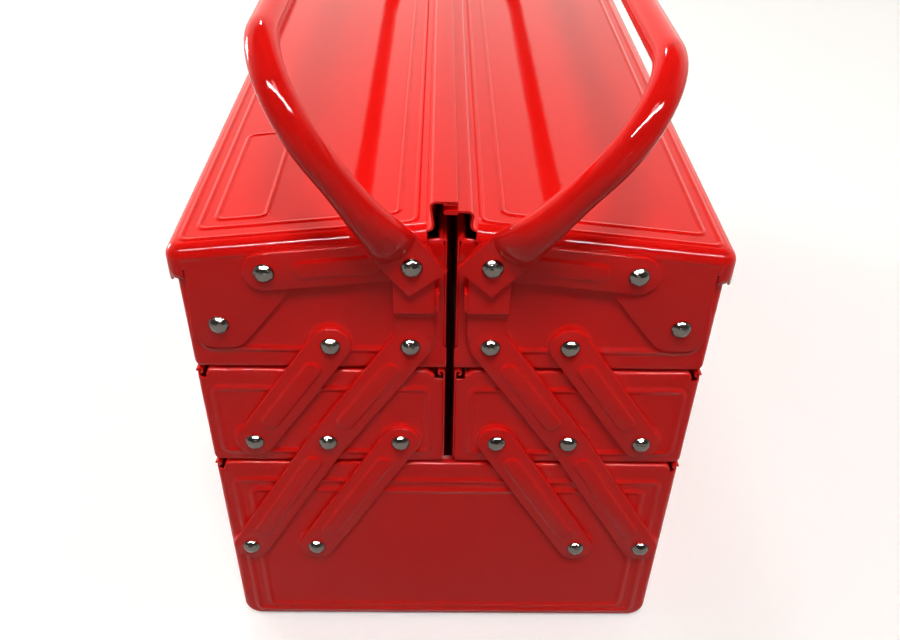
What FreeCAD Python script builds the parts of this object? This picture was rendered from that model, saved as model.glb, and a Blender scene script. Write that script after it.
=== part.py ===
"""Cantilever toolbox: five sheet steel trays, two hinged lids, riveted swing arms, two tube handles.

Frame: X across the box, Y along it with the front end at -Y, Z up. The origin is on the floor
under the middle of the closed box. Lengths are millimetres, angles are degrees.
"""
import math
import os

import FreeCAD
import Part
import Sketcher
from FreeCAD import Placement, Rotation, Vector

LENGTHS = {
    # whole box
    "body_length": 460.0,
    "body_width": 200.0,
    "steel": 0.8,
    "tray_gap": 0.3,
    "centre_gap": 3.6,
    # trays
    "bottom_height": 110.2,
    "middle_height": 51.9,
    "top_outer_height": 49.0,
    "top_inner_height": 60.7,
    "bottom_bend": 8.5,
    "tray_bend": 3.0,
    "hem_radius": 1.5,
    "lip_width": 2.5,
    "seam_gap": 0.15,
    "end_flange": 8.0,
    "fold_depth": 5.0,
    "notch_width": 4.0,
    "notch_depth": 2.2,
    # pressed beads and bosses
    "bead_width": 2.6,
    "bead_height": 0.6,
    "bead_corner": 3.0,
    "boss_radius": 8.6,
    "boss_height": 0.8,
    "bottom_frame_side": 6.4,
    "bottom_frame_base": 4.2,
    "bottom_frame_top": 9.8,
    "frame_step": 6.2,
    "middle_frame_side": 4.6,
    "middle_frame_inner": 7.0,
    "middle_frame_base": 5.4,
    "middle_frame_top": 8.6,
    "top_frame_base": 9.0,
    "top_frame_height": 38.0,
    # pivots: insets run in from the body's sides, offsets out from the middle of the box
    "foot_inset": 10.0,
    "foot_height": 57.0,
    "inner_pivot_offset": 20.0,
    "lower_arm_rise": 68.0,
    "upper_pivot_inset": 19.5,
    "long_top_offset": 15.3,
    "upper_arm_rise": 51.4,
    "head_offset": 14.2,
    "head_height": 216.2,
    "link_inset": 32.8,
    "link_height": 210.3,
    "hinge_inset": 13.0,
    "hinge_height": 185.5,
    # arms and links
    "arm_steel": 1.6,
    "arm_width": 16.0,
    "slide_gap": 0.2,
    "rib_width": 8.5,
    "rib_height": 0.8,
    "rib_inset": 10.0,
    "neck_inner": 5.9,
    "neck_width": 15.4,
    "joggle_foot": 15.0,
    "joggle_rise": 3.0,
    "tab_foot": 19.0,
    "tab_height": 8.6,
    "tab_stand": 3.0,
    # lids
    "lid_overhang": 3.5,
    "lid_inner_height": 228.0,
    "lid_outer_height": 217.9,
    "ridge_half": 8.8,
    "lid_bend": 5.0,
    "skirt_depth": 12.0,
    "ear_radius": 11.2,
    "ear_edge_inset": 4.0,
    "ear_foot_inset": 39.2,
    "ear_foot_height": 198.9,
    "strip_depth": 7.5,
    "slit_width": 0.8,
    "left_ridge_height": 239.2,
    "left_ridge_reach": 1.7,
    "right_ridge_height": 235.6,
    "right_ridge_reach": 3.3,
    "ridge_hem": 5.0,
    "lid_frame_side": 6.0,
    "lid_frame_end": 7.0,
    "lid_frame_inner": 3.2,
    "lid_frame_step": 5.3,
    "lid_frame_end_step": 7.0,
    "label_width": 17.7,
    "label_length": 71.2,
    "label_side": 16.2,
    "label_end": 19.0,
    # handles
    "tube_radius": 5.6,
    "handle_reach": 88.2,
    "handle_bend": 31.6,
    "plate_width": 18.0,
    "plate_steel": 2.4,
    "plate_foot": 9.0,
    "shoulder_start": 9.5,
    "shoulder_middle": 16.0,
    "tube_start": 30.0,
    "shoulder_half_depth": 3.3,
    "shoulder_lift": 0.3,
    # rivets
    "shank_radius": 2.0,
    "pin_gap": 0.1,
    "dome_radius": 3.9,
    "dome_height": 2.6,
    "tail_radius": 3.2,
    "tail_height": 1.2,
}
ANGLES = {
    "left_handle_tilt": 32.0,
    "right_handle_tilt": 38.0,
    "handle_splay": 6.0,
}


class Size:
    """A size with its value and the sheet formula that gives it."""

    def __init__(self, value, formula):
        self.value = float(value)
        self.formula = formula

    def __add__(self, other):
        return combine(self, "+", other, self.value + value_of(other))

    def __radd__(self, other):
        return combine(other, "+", self, value_of(other) + self.value)

    def __sub__(self, other):
        return combine(self, "-", other, self.value - value_of(other))

    def __rsub__(self, other):
        return combine(other, "-", self, value_of(other) - self.value)

    def __mul__(self, other):
        return combine(self, "*", other, self.value * value_of(other))

    def __rmul__(self, other):
        return combine(other, "*", self, value_of(other) * self.value)

    def __truediv__(self, other):
        return combine(self, "/", other, self.value / value_of(other))

    def __neg__(self):
        return combine(-1, "*", self, -self.value)


def value_of(number):
    return number.value if isinstance(number, Size) else float(number)


def formula_of(number):
    return number.formula if isinstance(number, Size) else repr(number)


def combine(first, sign, second, value):
    return Size(value, "(%s %s %s)" % (formula_of(first), sign, formula_of(second)))


def apply(function, size, value):
    """A sheet function of a size, such as sin or sqrt, with its value."""
    return Size(value, "%s(%s)" % (function, size.formula))


def sine(angle):
    return apply("sin", angle, Rotation(Vector(0, 0, 1), angle.value).multVec(Vector(1, 0, 0)).y)


def cosine(angle):
    return apply("cos", angle, Rotation(Vector(0, 0, 1), angle.value).multVec(Vector(1, 0, 0)).x)


def root(number):
    return apply("sqrt", number, number.value ** 0.5)


doc = FreeCAD.newDocument("toolbox")
sheet = doc.addObject("Spreadsheet::Sheet", "sizes")
names = {}
for row, (alias, number) in enumerate({**LENGTHS, **ANGLES}.items(), start=1):
    cell = "A%d" % row
    sheet.set(cell, str(number))
    sheet.setAlias(cell, alias)
    names[alias] = Size(number, "sizes." + alias)
doc.recompute()


class Values:
    """The sheet's sizes, each read by its alias."""

    def __getattr__(self, alias):
        return names[alias]


s = Values()
ZERO = Size(0, "0")
HALF_TURN = 180
QUARTER_TURN = 90

# Places that several pieces share.
half_width = s.body_width / 2
half_length = s.body_length / 2
inner_wall = s.centre_gap / 2
middle_base = s.bottom_height + s.tray_gap
top_base = middle_base + s.middle_height + s.tray_gap

# The long arm's middle pivot is halfway out, and each pair of arms stays parallel.
middle_height = s.foot_height + s.lower_arm_rise
top_height = middle_height + s.upper_arm_rise
long_foot = (half_width - s.foot_inset, s.foot_height)
long_middle = (half_width / 2, middle_height)
short_middle = (s.inner_pivot_offset, middle_height)
short_foot = (long_foot[0] - long_middle[0] + short_middle[0], s.foot_height)
upper_foot = (half_width - s.upper_pivot_inset, middle_height)
long_top = (s.long_top_offset, top_height)
upper_top = (upper_foot[0] - long_middle[0] + long_top[0], top_height)
head = (s.head_offset, s.head_height)
link_end = (half_width - s.link_inset, s.link_height)
hinge = (half_width - s.hinge_inset, s.hinge_height)
ear_edge = half_width - s.ear_edge_inset
ear_foot = half_width - s.ear_foot_inset

# How far each layer stands out from the end walls.
arm_layer = s.boss_height + s.slide_gap
lid_layer = s.boss_height + s.slide_gap / 2
lid_outer_layer = lid_layer + s.steel
link_layer = lid_outer_layer + s.slide_gap
neck_layer = link_layer + s.arm_steel + s.slide_gap
handle_layer = neck_layer + s.arm_steel + s.slide_gap
hole_radius = s.shank_radius + s.pin_gap


def origin_plane(body, role):
    return {item.Role: item for item in body.Origin.OriginFeatures}[role]


def new_body(name):
    return doc.addObject("PartDesign::Body", name)


def new_sketch(body, role, offset=None):
    """A sketch on one of the body's planes, moved along the plane's normal by offset."""
    sketch = body.newObject("Sketcher::SketchObject", "sketch")
    sketch.AttachmentSupport = [(origin_plane(body, role), "")]
    sketch.MapMode = "FlatFace"
    if offset is not None:
        sketch.AttachmentOffset = Placement(Vector(0, 0, offset.value), Rotation())
        sketch.setExpression("AttachmentOffset.Base.z", offset.formula)
    return sketch


def bind_place(sketch, item, end, point):
    """Tie one end of a sketch line or arc to a place worked out from the sheet."""
    for name, axis, number in (("DistanceX", -2, point[0]), ("DistanceY", -1, point[1])):
        if value_of(number) == 0:
            sketch.addConstraint(Sketcher.Constraint("PointOnObject", item, end, axis))
            continue
        index = sketch.addConstraint(Sketcher.Constraint(name, -1, 1, item, end, number.value))
        sketch.setExpression("Constraints[%d]" % index, number.formula)


def bind_radius(sketch, item, radius):
    index = sketch.addConstraint(Sketcher.Constraint("Radius", item, radius.value))
    sketch.setExpression("Constraints[%d]" % index, radius.formula)


def flat(point):
    return Vector(value_of(point[0]), value_of(point[1]), 0)


def direction(start, end):
    """Unit direction from one point to another, exact along the axes."""
    across = end[0] - start[0]
    along = end[1] - start[1]
    small = 1e-9
    if abs(value_of(across)) < small:
        return 0, (1 if value_of(along) > 0 else -1)
    if abs(value_of(along)) < small:
        return (1 if value_of(across) > 0 else -1), 0
    reach = root(across * across + along * along)
    return across / reach, along / reach


def draw_outline(sketch, corners, closed=True):
    """An outline through corners; a corner with a third value is rounded to that radius."""
    count = len(corners)
    pieces = []
    for index, corner in enumerate(corners):
        point = corner[:2]
        if len(corner) == 2:
            pieces.append((point, point, None))
            continue
        radius = corner[2]
        before = direction(point, corners[index - 1][:2])
        after = direction(point, corners[(index + 1) % count][:2])
        dot = before[0] * after[0] + before[1] * after[1]
        cross = before[0] * after[1] - before[1] * after[0]
        turn = 1 if value_of(cross) > 0 else -1
        setback = radius if value_of(dot) == 0 else radius * (1 + dot) / (cross * turn)
        enter = (point[0] + before[0] * setback, point[1] + before[1] * setback)
        leave = (point[0] + after[0] * setback, point[1] + after[1] * setback)
        pieces.append((enter, leave, radius))
    first_item = None
    last_item = None
    for index, (enter, leave, radius) in enumerate(pieces):
        if radius is not None:
            corner = flat(corners[index])
            start = flat(enter)
            end = flat(leave)
            centre_side = (start - corner).normalize() + (end - corner).normalize()
            span = (start - corner).Length
            centre = corner + centre_side.normalize() * ((radius.value ** 2 + span ** 2) ** 0.5)
            middle = centre - centre_side.normalize() * radius.value
            leftward = (middle - start).cross(end - middle).z > 0
            arc = Part.Arc(start, middle, end) if leftward else Part.Arc(end, middle, start)
            item = sketch.addGeometry(arc, False)
            near, far = (1, 2) if leftward else (2, 1)
            bind_place(sketch, item, near, enter)
            bind_place(sketch, item, far, leave)
            bind_radius(sketch, item, radius)
            if last_item is not None:
                sketch.addConstraint(Sketcher.Constraint("Coincident", last_item[0], last_item[1], item, near))
            last_item = (item, far)
            first_item = first_item or (item, near)
        if not closed and index == count - 1:
            bind_place(sketch, last_item[0], last_item[1], enter)
            return
        following = pieces[(index + 1) % count][0]
        line = sketch.addGeometry(Part.LineSegment(flat(leave), flat(following)), False)
        if last_item is not None:
            sketch.addConstraint(Sketcher.Constraint("Coincident", last_item[0], last_item[1], line, 1))
        if radius is None:
            bind_place(sketch, line, 1, leave)
        last_item = (line, 2)
        first_item = first_item or (line, 1)
    sketch.addConstraint(Sketcher.Constraint("Coincident", last_item[0], last_item[1], first_item[0], first_item[1]))


def draw_rectangle(sketch, low, high, radius=None):
    corners = [(low[0], low[1]), (high[0], low[1]), (high[0], high[1]), (low[0], high[1])]
    if radius is not None:
        corners = [corner + (radius,) for corner in corners]
    draw_outline(sketch, corners)


def draw_ring(sketch, low, high, width, radius):
    """A rectangular frame of the given width, drawn as two rounded rectangles."""
    draw_rectangle(sketch, low, high, radius)
    inner_low = (low[0] + width, low[1] + width)
    inner_high = (high[0] - width, high[1] - width)
    draw_rectangle(sketch, inner_low, inner_high, radius - width / 2)


def draw_circle(sketch, centre, radius):
    item = sketch.addGeometry(Part.Circle(flat(centre), Vector(0, 0, 1), radius.value), False)
    bind_place(sketch, item, 3, centre)
    bind_radius(sketch, item, radius)


def draw_slot(sketch, start, end, radius):
    """A straight bar with round ends about two centres."""
    begin = flat(start)
    finish = flat(end)
    along = (finish - begin).normalize()
    side = Vector(-along.y, along.x, 0) * radius.value
    cap = sketch.addGeometry(Part.Arc(begin + side, begin - along * radius.value, begin - side), False)
    tip = sketch.addGeometry(Part.Arc(finish - side, finish + along * radius.value, finish + side), False)
    lower = sketch.addGeometry(Part.LineSegment(begin - side, finish - side), False)
    upper = sketch.addGeometry(Part.LineSegment(finish + side, begin + side), False)
    bind_place(sketch, cap, 3, start)
    bind_place(sketch, tip, 3, end)
    bind_radius(sketch, cap, radius)
    for arc, line_in, line_out in ((cap, upper, lower), (tip, lower, upper)):
        shape = sketch.Geometry[arc]
        arrives = sketch.Geometry[line_in].EndPoint
        near, far = (1, 2) if (shape.StartPoint - arrives).Length < (shape.EndPoint - arrives).Length else (2, 1)
        sketch.addConstraint(Sketcher.Constraint("Tangent", line_in, 2, arc, near))
        sketch.addConstraint(Sketcher.Constraint("Tangent", arc, far, line_out, 1))


def add_pad(body, sketch, length, reverse=False, centred=False):
    pad = body.newObject("PartDesign::Pad", "pad")
    pad.Profile = sketch
    pad.Length = length.value
    pad.setExpression("Length", length.formula)
    pad.Reversed = reverse
    pad.Midplane = centred
    return pad


def add_pocket(body, sketch, length=None, reverse=False, centred=False):
    """A cut of the given depth, or right through when no depth is given."""
    pocket = body.newObject("PartDesign::Pocket", "pocket")
    pocket.Profile = sketch
    pocket.Reversed = reverse
    pocket.Midplane = centred
    if length is None:
        pocket.Type = "ThroughAll"
    else:
        pocket.Length = length.value
        pocket.setExpression("Length", length.formula)
    return pocket


def mirrored(source, name, normal):
    """The same pressing made for the opposite side of the box."""
    other = doc.addObject("Part::Mirroring", name)
    other.Source = source
    other.Normal = normal
    return other


ACROSS = Vector(1, 0, 0)
ALONG = Vector(0, 1, 0)
nodes = []


def keep(piece, name):
    """List a finished piece under the name of its file."""
    piece.Label = name
    nodes.append(piece)
    return piece


def keep_four(body, name):
    """A left front piece and its mirror images at the other three corners."""
    keep(body, "left_front_" + name)
    rear = keep(mirrored(body, "rear", ALONG), "left_rear_" + name)
    keep(mirrored(body, "right_front", ACROSS), "right_front_" + name)
    keep(mirrored(rear, "right_rear", ACROSS), "right_rear_" + name)


def left(point):
    """The mirror of a place given for the right half."""
    return (-point[0], point[1])


def tray_pan(name, outer, inner, base, outer_top, inner_top, bend, lip):
    """A tray's floor and long walls folded from one sheet, with rolled rims."""
    body = new_body(name)
    sketch = new_sketch(body, "XZ_Plane")
    tight = bend - s.steel
    draw_outline(sketch, [
        (outer, outer_top),
        (outer, base, bend),
        (inner, base, bend),
        (inner, inner_top),
        (inner - s.steel, inner_top),
        (inner - s.steel, base + s.steel, tight),
        (outer + s.steel, base + s.steel, tight),
        (outer + s.steel, outer_top),
    ])
    add_pad(body, sketch, s.body_length - 2 * s.steel, centred=True)
    rims = new_sketch(body, "XZ_Plane")
    draw_circle(rims, (outer + s.hem_radius, outer_top - s.hem_radius), s.hem_radius)
    draw_circle(rims, (inner - s.hem_radius, inner_top - s.hem_radius), s.hem_radius)
    add_pad(body, rims, s.body_length, centred=True)
    if lip:
        lips = new_sketch(body, "XZ_Plane")
        draw_rectangle(lips, (inner - s.lip_width, base + bend), (inner, inner_top - s.hem_radius))
        add_pad(body, lips, s.body_length, centred=True)
        between = new_sketch(body, "XZ_Plane")
        draw_rectangle(between, (inner - s.lip_width - s.steel, base + bend),
                       (inner - s.steel, inner_top - s.hem_radius))
        doc.recompute()
        cut = s.body_length - 2 * s.steel
        add_pocket(body, between, cut, centred=True)
    return body


def end_plate(body, corners):
    sketch = new_sketch(body, "XZ_Plane", half_length - s.steel)
    draw_outline(sketch, corners)
    return add_pad(body, sketch, s.steel)


def add_bead_frame(body, low, high):
    """A raised bead pressed round the wall as a rectangle."""
    sketch = new_sketch(body, "XZ_Plane", half_length)
    draw_ring(sketch, low, high, s.bead_width, s.bead_corner)
    add_pad(body, sketch, s.bead_height)


def add_bosses(body, pivots):
    for pivot in pivots:
        sketch = new_sketch(body, "XZ_Plane", half_length)
        draw_circle(sketch, pivot, s.boss_radius)
        add_pad(body, sketch, s.boss_height)


def add_holes(body, pivots, both_ends=False):
    """Rivet holes through the front of the box, or through its front and rear."""
    for pivot in pivots:
        for front in (True, False) if both_ends else (True,):
            sketch = new_sketch(body, "XZ_Plane")
            draw_circle(sketch, pivot, hole_radius)
            add_pocket(body, sketch, reverse=front)


def bottom_end():
    """The bottom tray's front wall, full width, with two nested bead frames."""
    body = new_body("bottom_end")
    top = s.bottom_height - s.hem_radius / 3
    low = s.bottom_height - 2 * s.hem_radius
    side = half_width - s.notch_width
    end_plate(body, [
        (-half_width, low), (-half_width, ZERO, s.bottom_bend), (half_width, ZERO, s.bottom_bend),
        (half_width, low), (side, low), (side, top), (-side, top), (-side, low),
    ])
    skin = s.steel
    flange = new_sketch(body, "XZ_Plane", half_length - s.steel)
    reach = half_width - skin
    bend = s.bottom_bend - skin
    rim = s.bottom_height - 3 * s.hem_radius
    draw_outline(flange, [
        (-reach, rim), (-reach, skin, bend), (reach, skin, bend), (reach, rim),
        (reach - skin, rim), (reach - skin, 2 * skin, bend - skin), (-reach + skin, 2 * skin, bend - skin),
        (-reach + skin, rim),
    ])
    add_pad(body, flange, s.end_flange, reverse=True)
    fold = new_sketch(body, "XZ_Plane", half_length - s.steel)
    draw_rectangle(fold, (-side, top - skin), (side, top))
    add_pad(body, fold, s.fold_depth, reverse=True)
    low_corner = (half_width - s.bottom_frame_side, s.bottom_frame_base)
    high_corner = (half_width - s.bottom_frame_side, s.bottom_height - s.bottom_frame_top)
    add_bead_frame(body, left(low_corner), high_corner)
    step = s.frame_step
    add_bead_frame(body, (step - low_corner[0], low_corner[1] + step * 2 / 3), (high_corner[0] - step, high_corner[1] - step))
    pivots = [long_foot, short_foot]
    pivots += [left(pivot) for pivot in pivots]
    add_bosses(body, pivots)
    add_holes(body, pivots)
    return body


def half_end(name, base, outer_top, inner_top, slope_from, frame_low, frame_high, bosses):
    """The front wall of one half's tray, for the left half."""
    body = new_body(name)
    skin = s.steel
    seam = inner_wall + s.lip_width + s.seam_gap
    side = half_width - s.notch_width
    low = outer_top - 2 * s.hem_radius
    top_inner = inner_top - s.hem_radius / 3
    corners = [
        (-half_width, low), (-half_width, base, s.tray_bend), (-seam, base), (-seam, top_inner - s.notch_depth),
        (-seam - s.notch_width / 2, top_inner - s.notch_depth), (-seam - s.notch_width / 2, top_inner),
        (-side, slope_from), (-side, low),
    ]
    end_plate(body, corners)
    reach = half_width - skin
    bend = s.tray_bend - skin
    rim = outer_top - 3 * s.hem_radius
    flange = new_sketch(body, "XZ_Plane", half_length - s.steel)
    draw_outline(flange, [
        (-reach, rim), (-reach, base + skin, bend), (-seam, base + skin), (-seam, base + 2 * skin),
        (-reach + skin, base + 2 * skin, bend / 2), (-reach + skin, rim),
    ])
    add_pad(body, flange, s.end_flange, reverse=True)
    fold = new_sketch(body, "XZ_Plane", half_length - s.steel)
    draw_outline(fold, [
        (-side, slope_from - skin), (-seam - s.notch_width / 2, top_inner - skin),
        (-seam - s.notch_width / 2, top_inner), (-side, slope_from),
    ])
    add_pad(body, fold, s.fold_depth, reverse=True)
    add_bead_frame(body, frame_low, frame_high)
    pivots = [left(pivot) for pivot in bosses]
    add_bosses(body, pivots)
    add_holes(body, pivots)
    return body


def add_rib(body, start, end, layer):
    """A pressed rib between two pivots, clear of both by the rib inset."""
    ahead = direction(start, end)
    inset = s.rib_inset + s.rib_width / 2
    first = (start[0] + ahead[0] * inset, start[1] + ahead[1] * inset)
    last = (end[0] - ahead[0] * inset, end[1] - ahead[1] * inset)
    sketch = new_sketch(body, "XZ_Plane", half_length + layer + s.arm_steel)
    draw_slot(sketch, first, last, s.rib_width / 2)
    add_pad(body, sketch, s.rib_height)


def add_bar(body, start, end, layer):
    sketch = new_sketch(body, "XZ_Plane", half_length + layer)
    draw_slot(sketch, start, end, s.arm_width / 2)
    return add_pad(body, sketch, s.arm_steel)


def plain_arm(name, start, end, layer):
    """A flat bar with round ends, a rib and a pivot hole at each end."""
    body = new_body(name)
    add_bar(body, left(start), left(end), layer)
    add_rib(body, left(start), left(end), layer)
    add_holes(body, [left(start), left(end)])
    return body


def long_arm():
    """The bent arm from the bottom tray to the handle, joggled out over the lid link."""
    body = new_body("long_arm")
    add_bar(body, left(long_foot), left(long_middle), arm_layer)
    add_bar(body, left(long_middle), left(long_top), arm_layer)
    add_rib(body, left(long_foot), left(long_middle), arm_layer)
    add_rib(body, left(long_middle), left(long_top), arm_layer)
    neck = new_sketch(body, "YZ_Plane", -s.neck_inner)
    back = -half_length - arm_layer
    front = back - s.arm_steel
    raised_back = -half_length - neck_layer
    raised_front = raised_back - s.arm_steel
    joggle = long_top[1] + s.joggle_foot
    raised = joggle + s.joggle_rise
    draw_outline(neck, [
        (back, long_top[1]), (back, joggle), (raised_back, raised), (raised_back, s.head_height),
        (raised_front, s.head_height), (raised_front, raised), (front, joggle), (front, long_top[1]),
    ])
    add_pad(body, neck, s.neck_width, reverse=True)
    crown = new_sketch(body, "XZ_Plane", half_length + neck_layer)
    draw_circle(crown, left(head), s.arm_width / 2)
    add_pad(body, crown, s.arm_steel)
    tab = new_sketch(body, "XZ_Plane", half_length + neck_layer + s.arm_steel)
    tab_low = s.head_height - s.tab_foot
    draw_rectangle(tab, (-s.neck_inner - s.arm_steel, tab_low), (-s.neck_inner, tab_low + s.tab_height))
    add_pad(body, tab, s.tab_stand)
    add_holes(body, [left(long_foot), left(long_middle), left(long_top), left(head)])
    return body


lid_edge = half_width + s.lid_overhang
lid_slope = (s.lid_inner_height - s.lid_outer_height) / (lid_edge - s.ridge_half)


def lid_surface(across):
    """Height of the lid's top face at a distance from the middle of the box."""
    return s.lid_inner_height - (across - s.ridge_half) * lid_slope


def lid(name, side, ridge_height, ridge_reach):
    """A pressed lid: sloping top, outer skirt, end strips with hinge ears, and a hemmed ridge."""
    body = new_body(name)
    length = s.body_length + 2 * lid_outer_layer
    skin = s.steel
    wall = s.ridge_half
    skirt_foot = s.lid_outer_height - s.skirt_depth
    under_edge = lid_edge - skin
    top = new_sketch(body, "XZ_Plane")
    draw_outline(top, [
        (side * (wall - skin), ridge_height),
        (side * (wall - skin), lid_surface(wall) - skin),
        (side * under_edge, lid_surface(under_edge) - skin, s.lid_bend - skin),
        (side * under_edge, skirt_foot),
        (side * lid_edge, skirt_foot),
        (side * lid_edge, s.lid_outer_height, s.lid_bend),
        (side * wall, lid_surface(wall)),
        (side * wall, ridge_height),
    ])
    add_pad(body, top, length, centred=True)
    ridge = new_sketch(body, "XZ_Plane")
    draw_rectangle(ridge, (side * wall, ridge_height - skin), (-side * ridge_reach, ridge_height))
    add_pad(body, ridge, length, centred=True)
    hem = new_sketch(body, "XZ_Plane")
    draw_rectangle(hem, (side * (s.ridge_hem - ridge_reach), ridge_height - 2 * skin),
                   (-side * ridge_reach, ridge_height - skin))
    add_pad(body, hem, length, centred=True)
    strip_end = ear_foot - s.ear_radius
    foot = hinge[1] - s.ear_radius
    strip = new_sketch(body, "XZ_Plane", half_length + lid_layer)
    draw_outline(strip, [
        (side * wall, lid_surface(wall) - skin / 2),
        (side * wall, lid_surface(wall) - s.strip_depth),
        (side * strip_end, lid_surface(strip_end) - s.strip_depth),
        (side * ear_foot, s.ear_foot_height),
        (side * (hinge[0] - s.ear_radius * 3 / 5), foot, s.ear_radius * 3 / 4),
        (side * (hinge[0] + s.ear_radius), foot, s.ear_radius * 3 / 4),
        (side * ear_edge, skirt_foot),
        (side * ear_edge, lid_surface(ear_edge) - skin / 2),
    ])
    front_strip = add_pad(body, strip, skin)
    returned = new_sketch(body, "XZ_Plane", half_length + lid_layer)
    draw_rectangle(returned, (side * (ear_edge + s.slit_width), skirt_foot),
                   (side * lid_edge, s.lid_outer_height - s.lid_bend))
    front_return = add_pad(body, returned, skin)
    doc.recompute()
    mirror_ends(body, [front_strip, front_return])
    add_holes(body, [(side * hinge[0], hinge[1])], both_ends=True)
    return body


def mirror_ends(body, features):
    mirror = body.newObject("PartDesign::Mirrored", "both_ends")
    mirror.Originals = features
    mirror.MirrorPlane = (origin_plane(body, "XZ_Plane"), [""])
    body.Tip = mirror
    return mirror


def add_lid_bead(body, side, low, high):
    """A bead frame on the lid's sloping face; places are across from the middle and along."""
    stretch = root(1 + lid_slope * lid_slope)
    sketch = new_sketch(body, "XY_Plane")
    pitch = apply("atan", lid_slope, math.degrees(math.atan(lid_slope.value)))
    peak = lid_surface(0)
    sketch.AttachmentOffset = Placement(Vector(0, 0, peak.value), Rotation(Vector(0, side, 0), pitch.value))
    sketch.setExpression("AttachmentOffset.Base.z", peak.formula)
    sketch.setExpression("AttachmentOffset.Rotation.Angle", pitch.formula)
    near = (low[0] * stretch, low[1])
    far = (high[0] * stretch, high[1])
    if side < 0:
        near, far = (-far[0], near[1]), (-near[0], far[1])
    draw_ring(sketch, near, far, s.bead_width, s.bead_corner)
    add_pad(body, sketch, s.bead_height)


def lid_beads(body, side):
    """Two nested bead frames on a lid."""
    end = half_length + lid_outer_layer - s.lid_frame_end
    low = (s.ridge_half + s.lid_frame_inner, -end)
    high = (lid_edge - s.lid_frame_side, end)
    add_lid_bead(body, side, low, high)
    step = s.lid_frame_step
    end_step = s.lid_frame_end_step
    add_lid_bead(body, side, (low[0] + step, low[1] + end_step), (high[0] - step, high[1] - end_step))


def label_frame(body, side):
    """The small bare frame in the front outer corner of the left lid."""
    outer = lid_edge - s.label_side
    front = s.label_end - half_length
    add_lid_bead(body, side, (outer - s.label_width, front), (outer, front + s.label_length))


def tube_section(body, start):
    """The handle tube's round section, square to the leg where the leg begins."""
    section = new_sketch(body, "XY_Plane")
    section.AttachmentOffset = Placement(Vector(0, -start.value, s.tube_start.value),
                                         Rotation(Vector(1, 0, 0), s.handle_splay.value))
    section.setExpression("AttachmentOffset.Base.y", (-start).formula)
    section.setExpression("AttachmentOffset.Base.z", s.tube_start.formula)
    section.setExpression("AttachmentOffset.Rotation.Angle", s.handle_splay.formula)
    draw_circle(section, (ZERO, ZERO), s.tube_radius)
    return section


def shoulder_section(half_wide, half_deep, out, height, turned):
    """An oval section across the flattened end of the handle tube."""
    section = doc.addObject("Part::Ellipse", "section")
    section.setExpression("MajorRadius", half_wide.formula)
    section.setExpression("MinorRadius", half_deep.formula)
    section.Placement = Placement(Vector(0, -out.value, height.value), Rotation(Vector(1, 0, 0), turned.value))
    section.setExpression("Placement.Base.y", (-out).formula)
    section.setExpression("Placement.Base.z", height.formula)
    section.setExpression("Placement.Rotation.Angle", turned.formula)
    return section


def handle(name, side, tilt):
    """A tube bent to a wide U, its ends flattened to square plates; drawn upright at its pivot."""
    body = new_body(name + "_tube")
    slant = sine(s.handle_splay) / cosine(s.handle_splay)
    plate_face = half_length + handle_layer
    axis_foot = plate_face + s.tube_radius
    start = axis_foot + s.tube_start * slant
    corner = axis_foot + s.handle_reach * slant
    spine = new_sketch(body, "YZ_Plane")
    draw_outline(spine, [
        (-start, s.tube_start),
        (-corner, s.handle_reach, s.handle_bend),
        (corner, s.handle_reach, s.handle_bend),
        (start, s.tube_start),
    ], closed=False)
    pipe = body.newObject("PartDesign::AdditivePipe", "tube")
    pipe.Profile = tube_section(body, start)
    pipe.Spine = spine
    half_plate = s.plate_width / 2
    plate_top = s.shoulder_start + s.plate_steel
    plates = doc.addObject("Part::Box", name + "_plate")
    plates.setExpression("Length", s.plate_width.formula)
    plates.setExpression("Width", s.plate_steel.formula)
    plates.setExpression("Height", (s.plate_foot + plate_top).formula)
    plates.setExpression("Placement.Base.x", (-half_plate).formula)
    plates.setExpression("Placement.Base.y", (-plate_face - s.plate_steel).formula)
    plates.setExpression("Placement.Base.z", (-s.plate_foot).formula)
    hole = round_bar(name + "_hole", hole_radius, plate_face - s.pin_gap, plate_face + s.plate_steel + s.pin_gap)
    pierced = doc.addObject("Part::Cut", name + "_pierced_plate")
    pierced.Base = plates
    pierced.Tool = hole
    shoulder = doc.addObject("Part::Loft", name + "_shoulder")
    shoulder.Solid = True
    shoulder.Sections = [
        shoulder_section(half_plate, s.plate_steel / 2, plate_face + s.plate_steel / 2, s.shoulder_start, ZERO),
        shoulder_section(half_plate, s.shoulder_half_depth, plate_face + s.shoulder_half_depth + s.shoulder_lift,
                         s.shoulder_middle, ZERO),
        shoulder_section(s.tube_radius, s.tube_radius, start, s.tube_start, s.handle_splay),
    ]
    front = doc.addObject("Part::MultiFuse", name + "_front_end")
    front.Shapes = [pierced, shoulder]
    whole = doc.addObject("Part::MultiFuse", name)
    whole.Shapes = [body, front, mirrored(front, name + "_rear_end", ALONG)]
    whole.Placement = Placement(Vector(side * head[0].value, 0, head[1].value), Rotation(Vector(0, side, 0), tilt.value))
    whole.setExpression("Placement.Base.x", (side * head[0]).formula)
    whole.setExpression("Placement.Base.z", head[1].formula)
    whole.setExpression("Placement.Rotation.Angle", tilt.formula)
    return whole


def outward(shape, out):
    """Turn a primitive's axis outwards, towards -Y, with its base at a distance out from the wall."""
    shape.Placement = Placement(Vector(0, -out.value, 0), Rotation(Vector(1, 0, 0), QUARTER_TURN))
    shape.setExpression("Placement.Base.y", (-out).formula)
    return shape


def round_bar(name, radius, low, high):
    bar = doc.addObject("Part::Cylinder", name)
    bar.setExpression("Radius", radius.formula)
    bar.setExpression("Height", (high - low).formula)
    return outward(bar, low)


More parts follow.
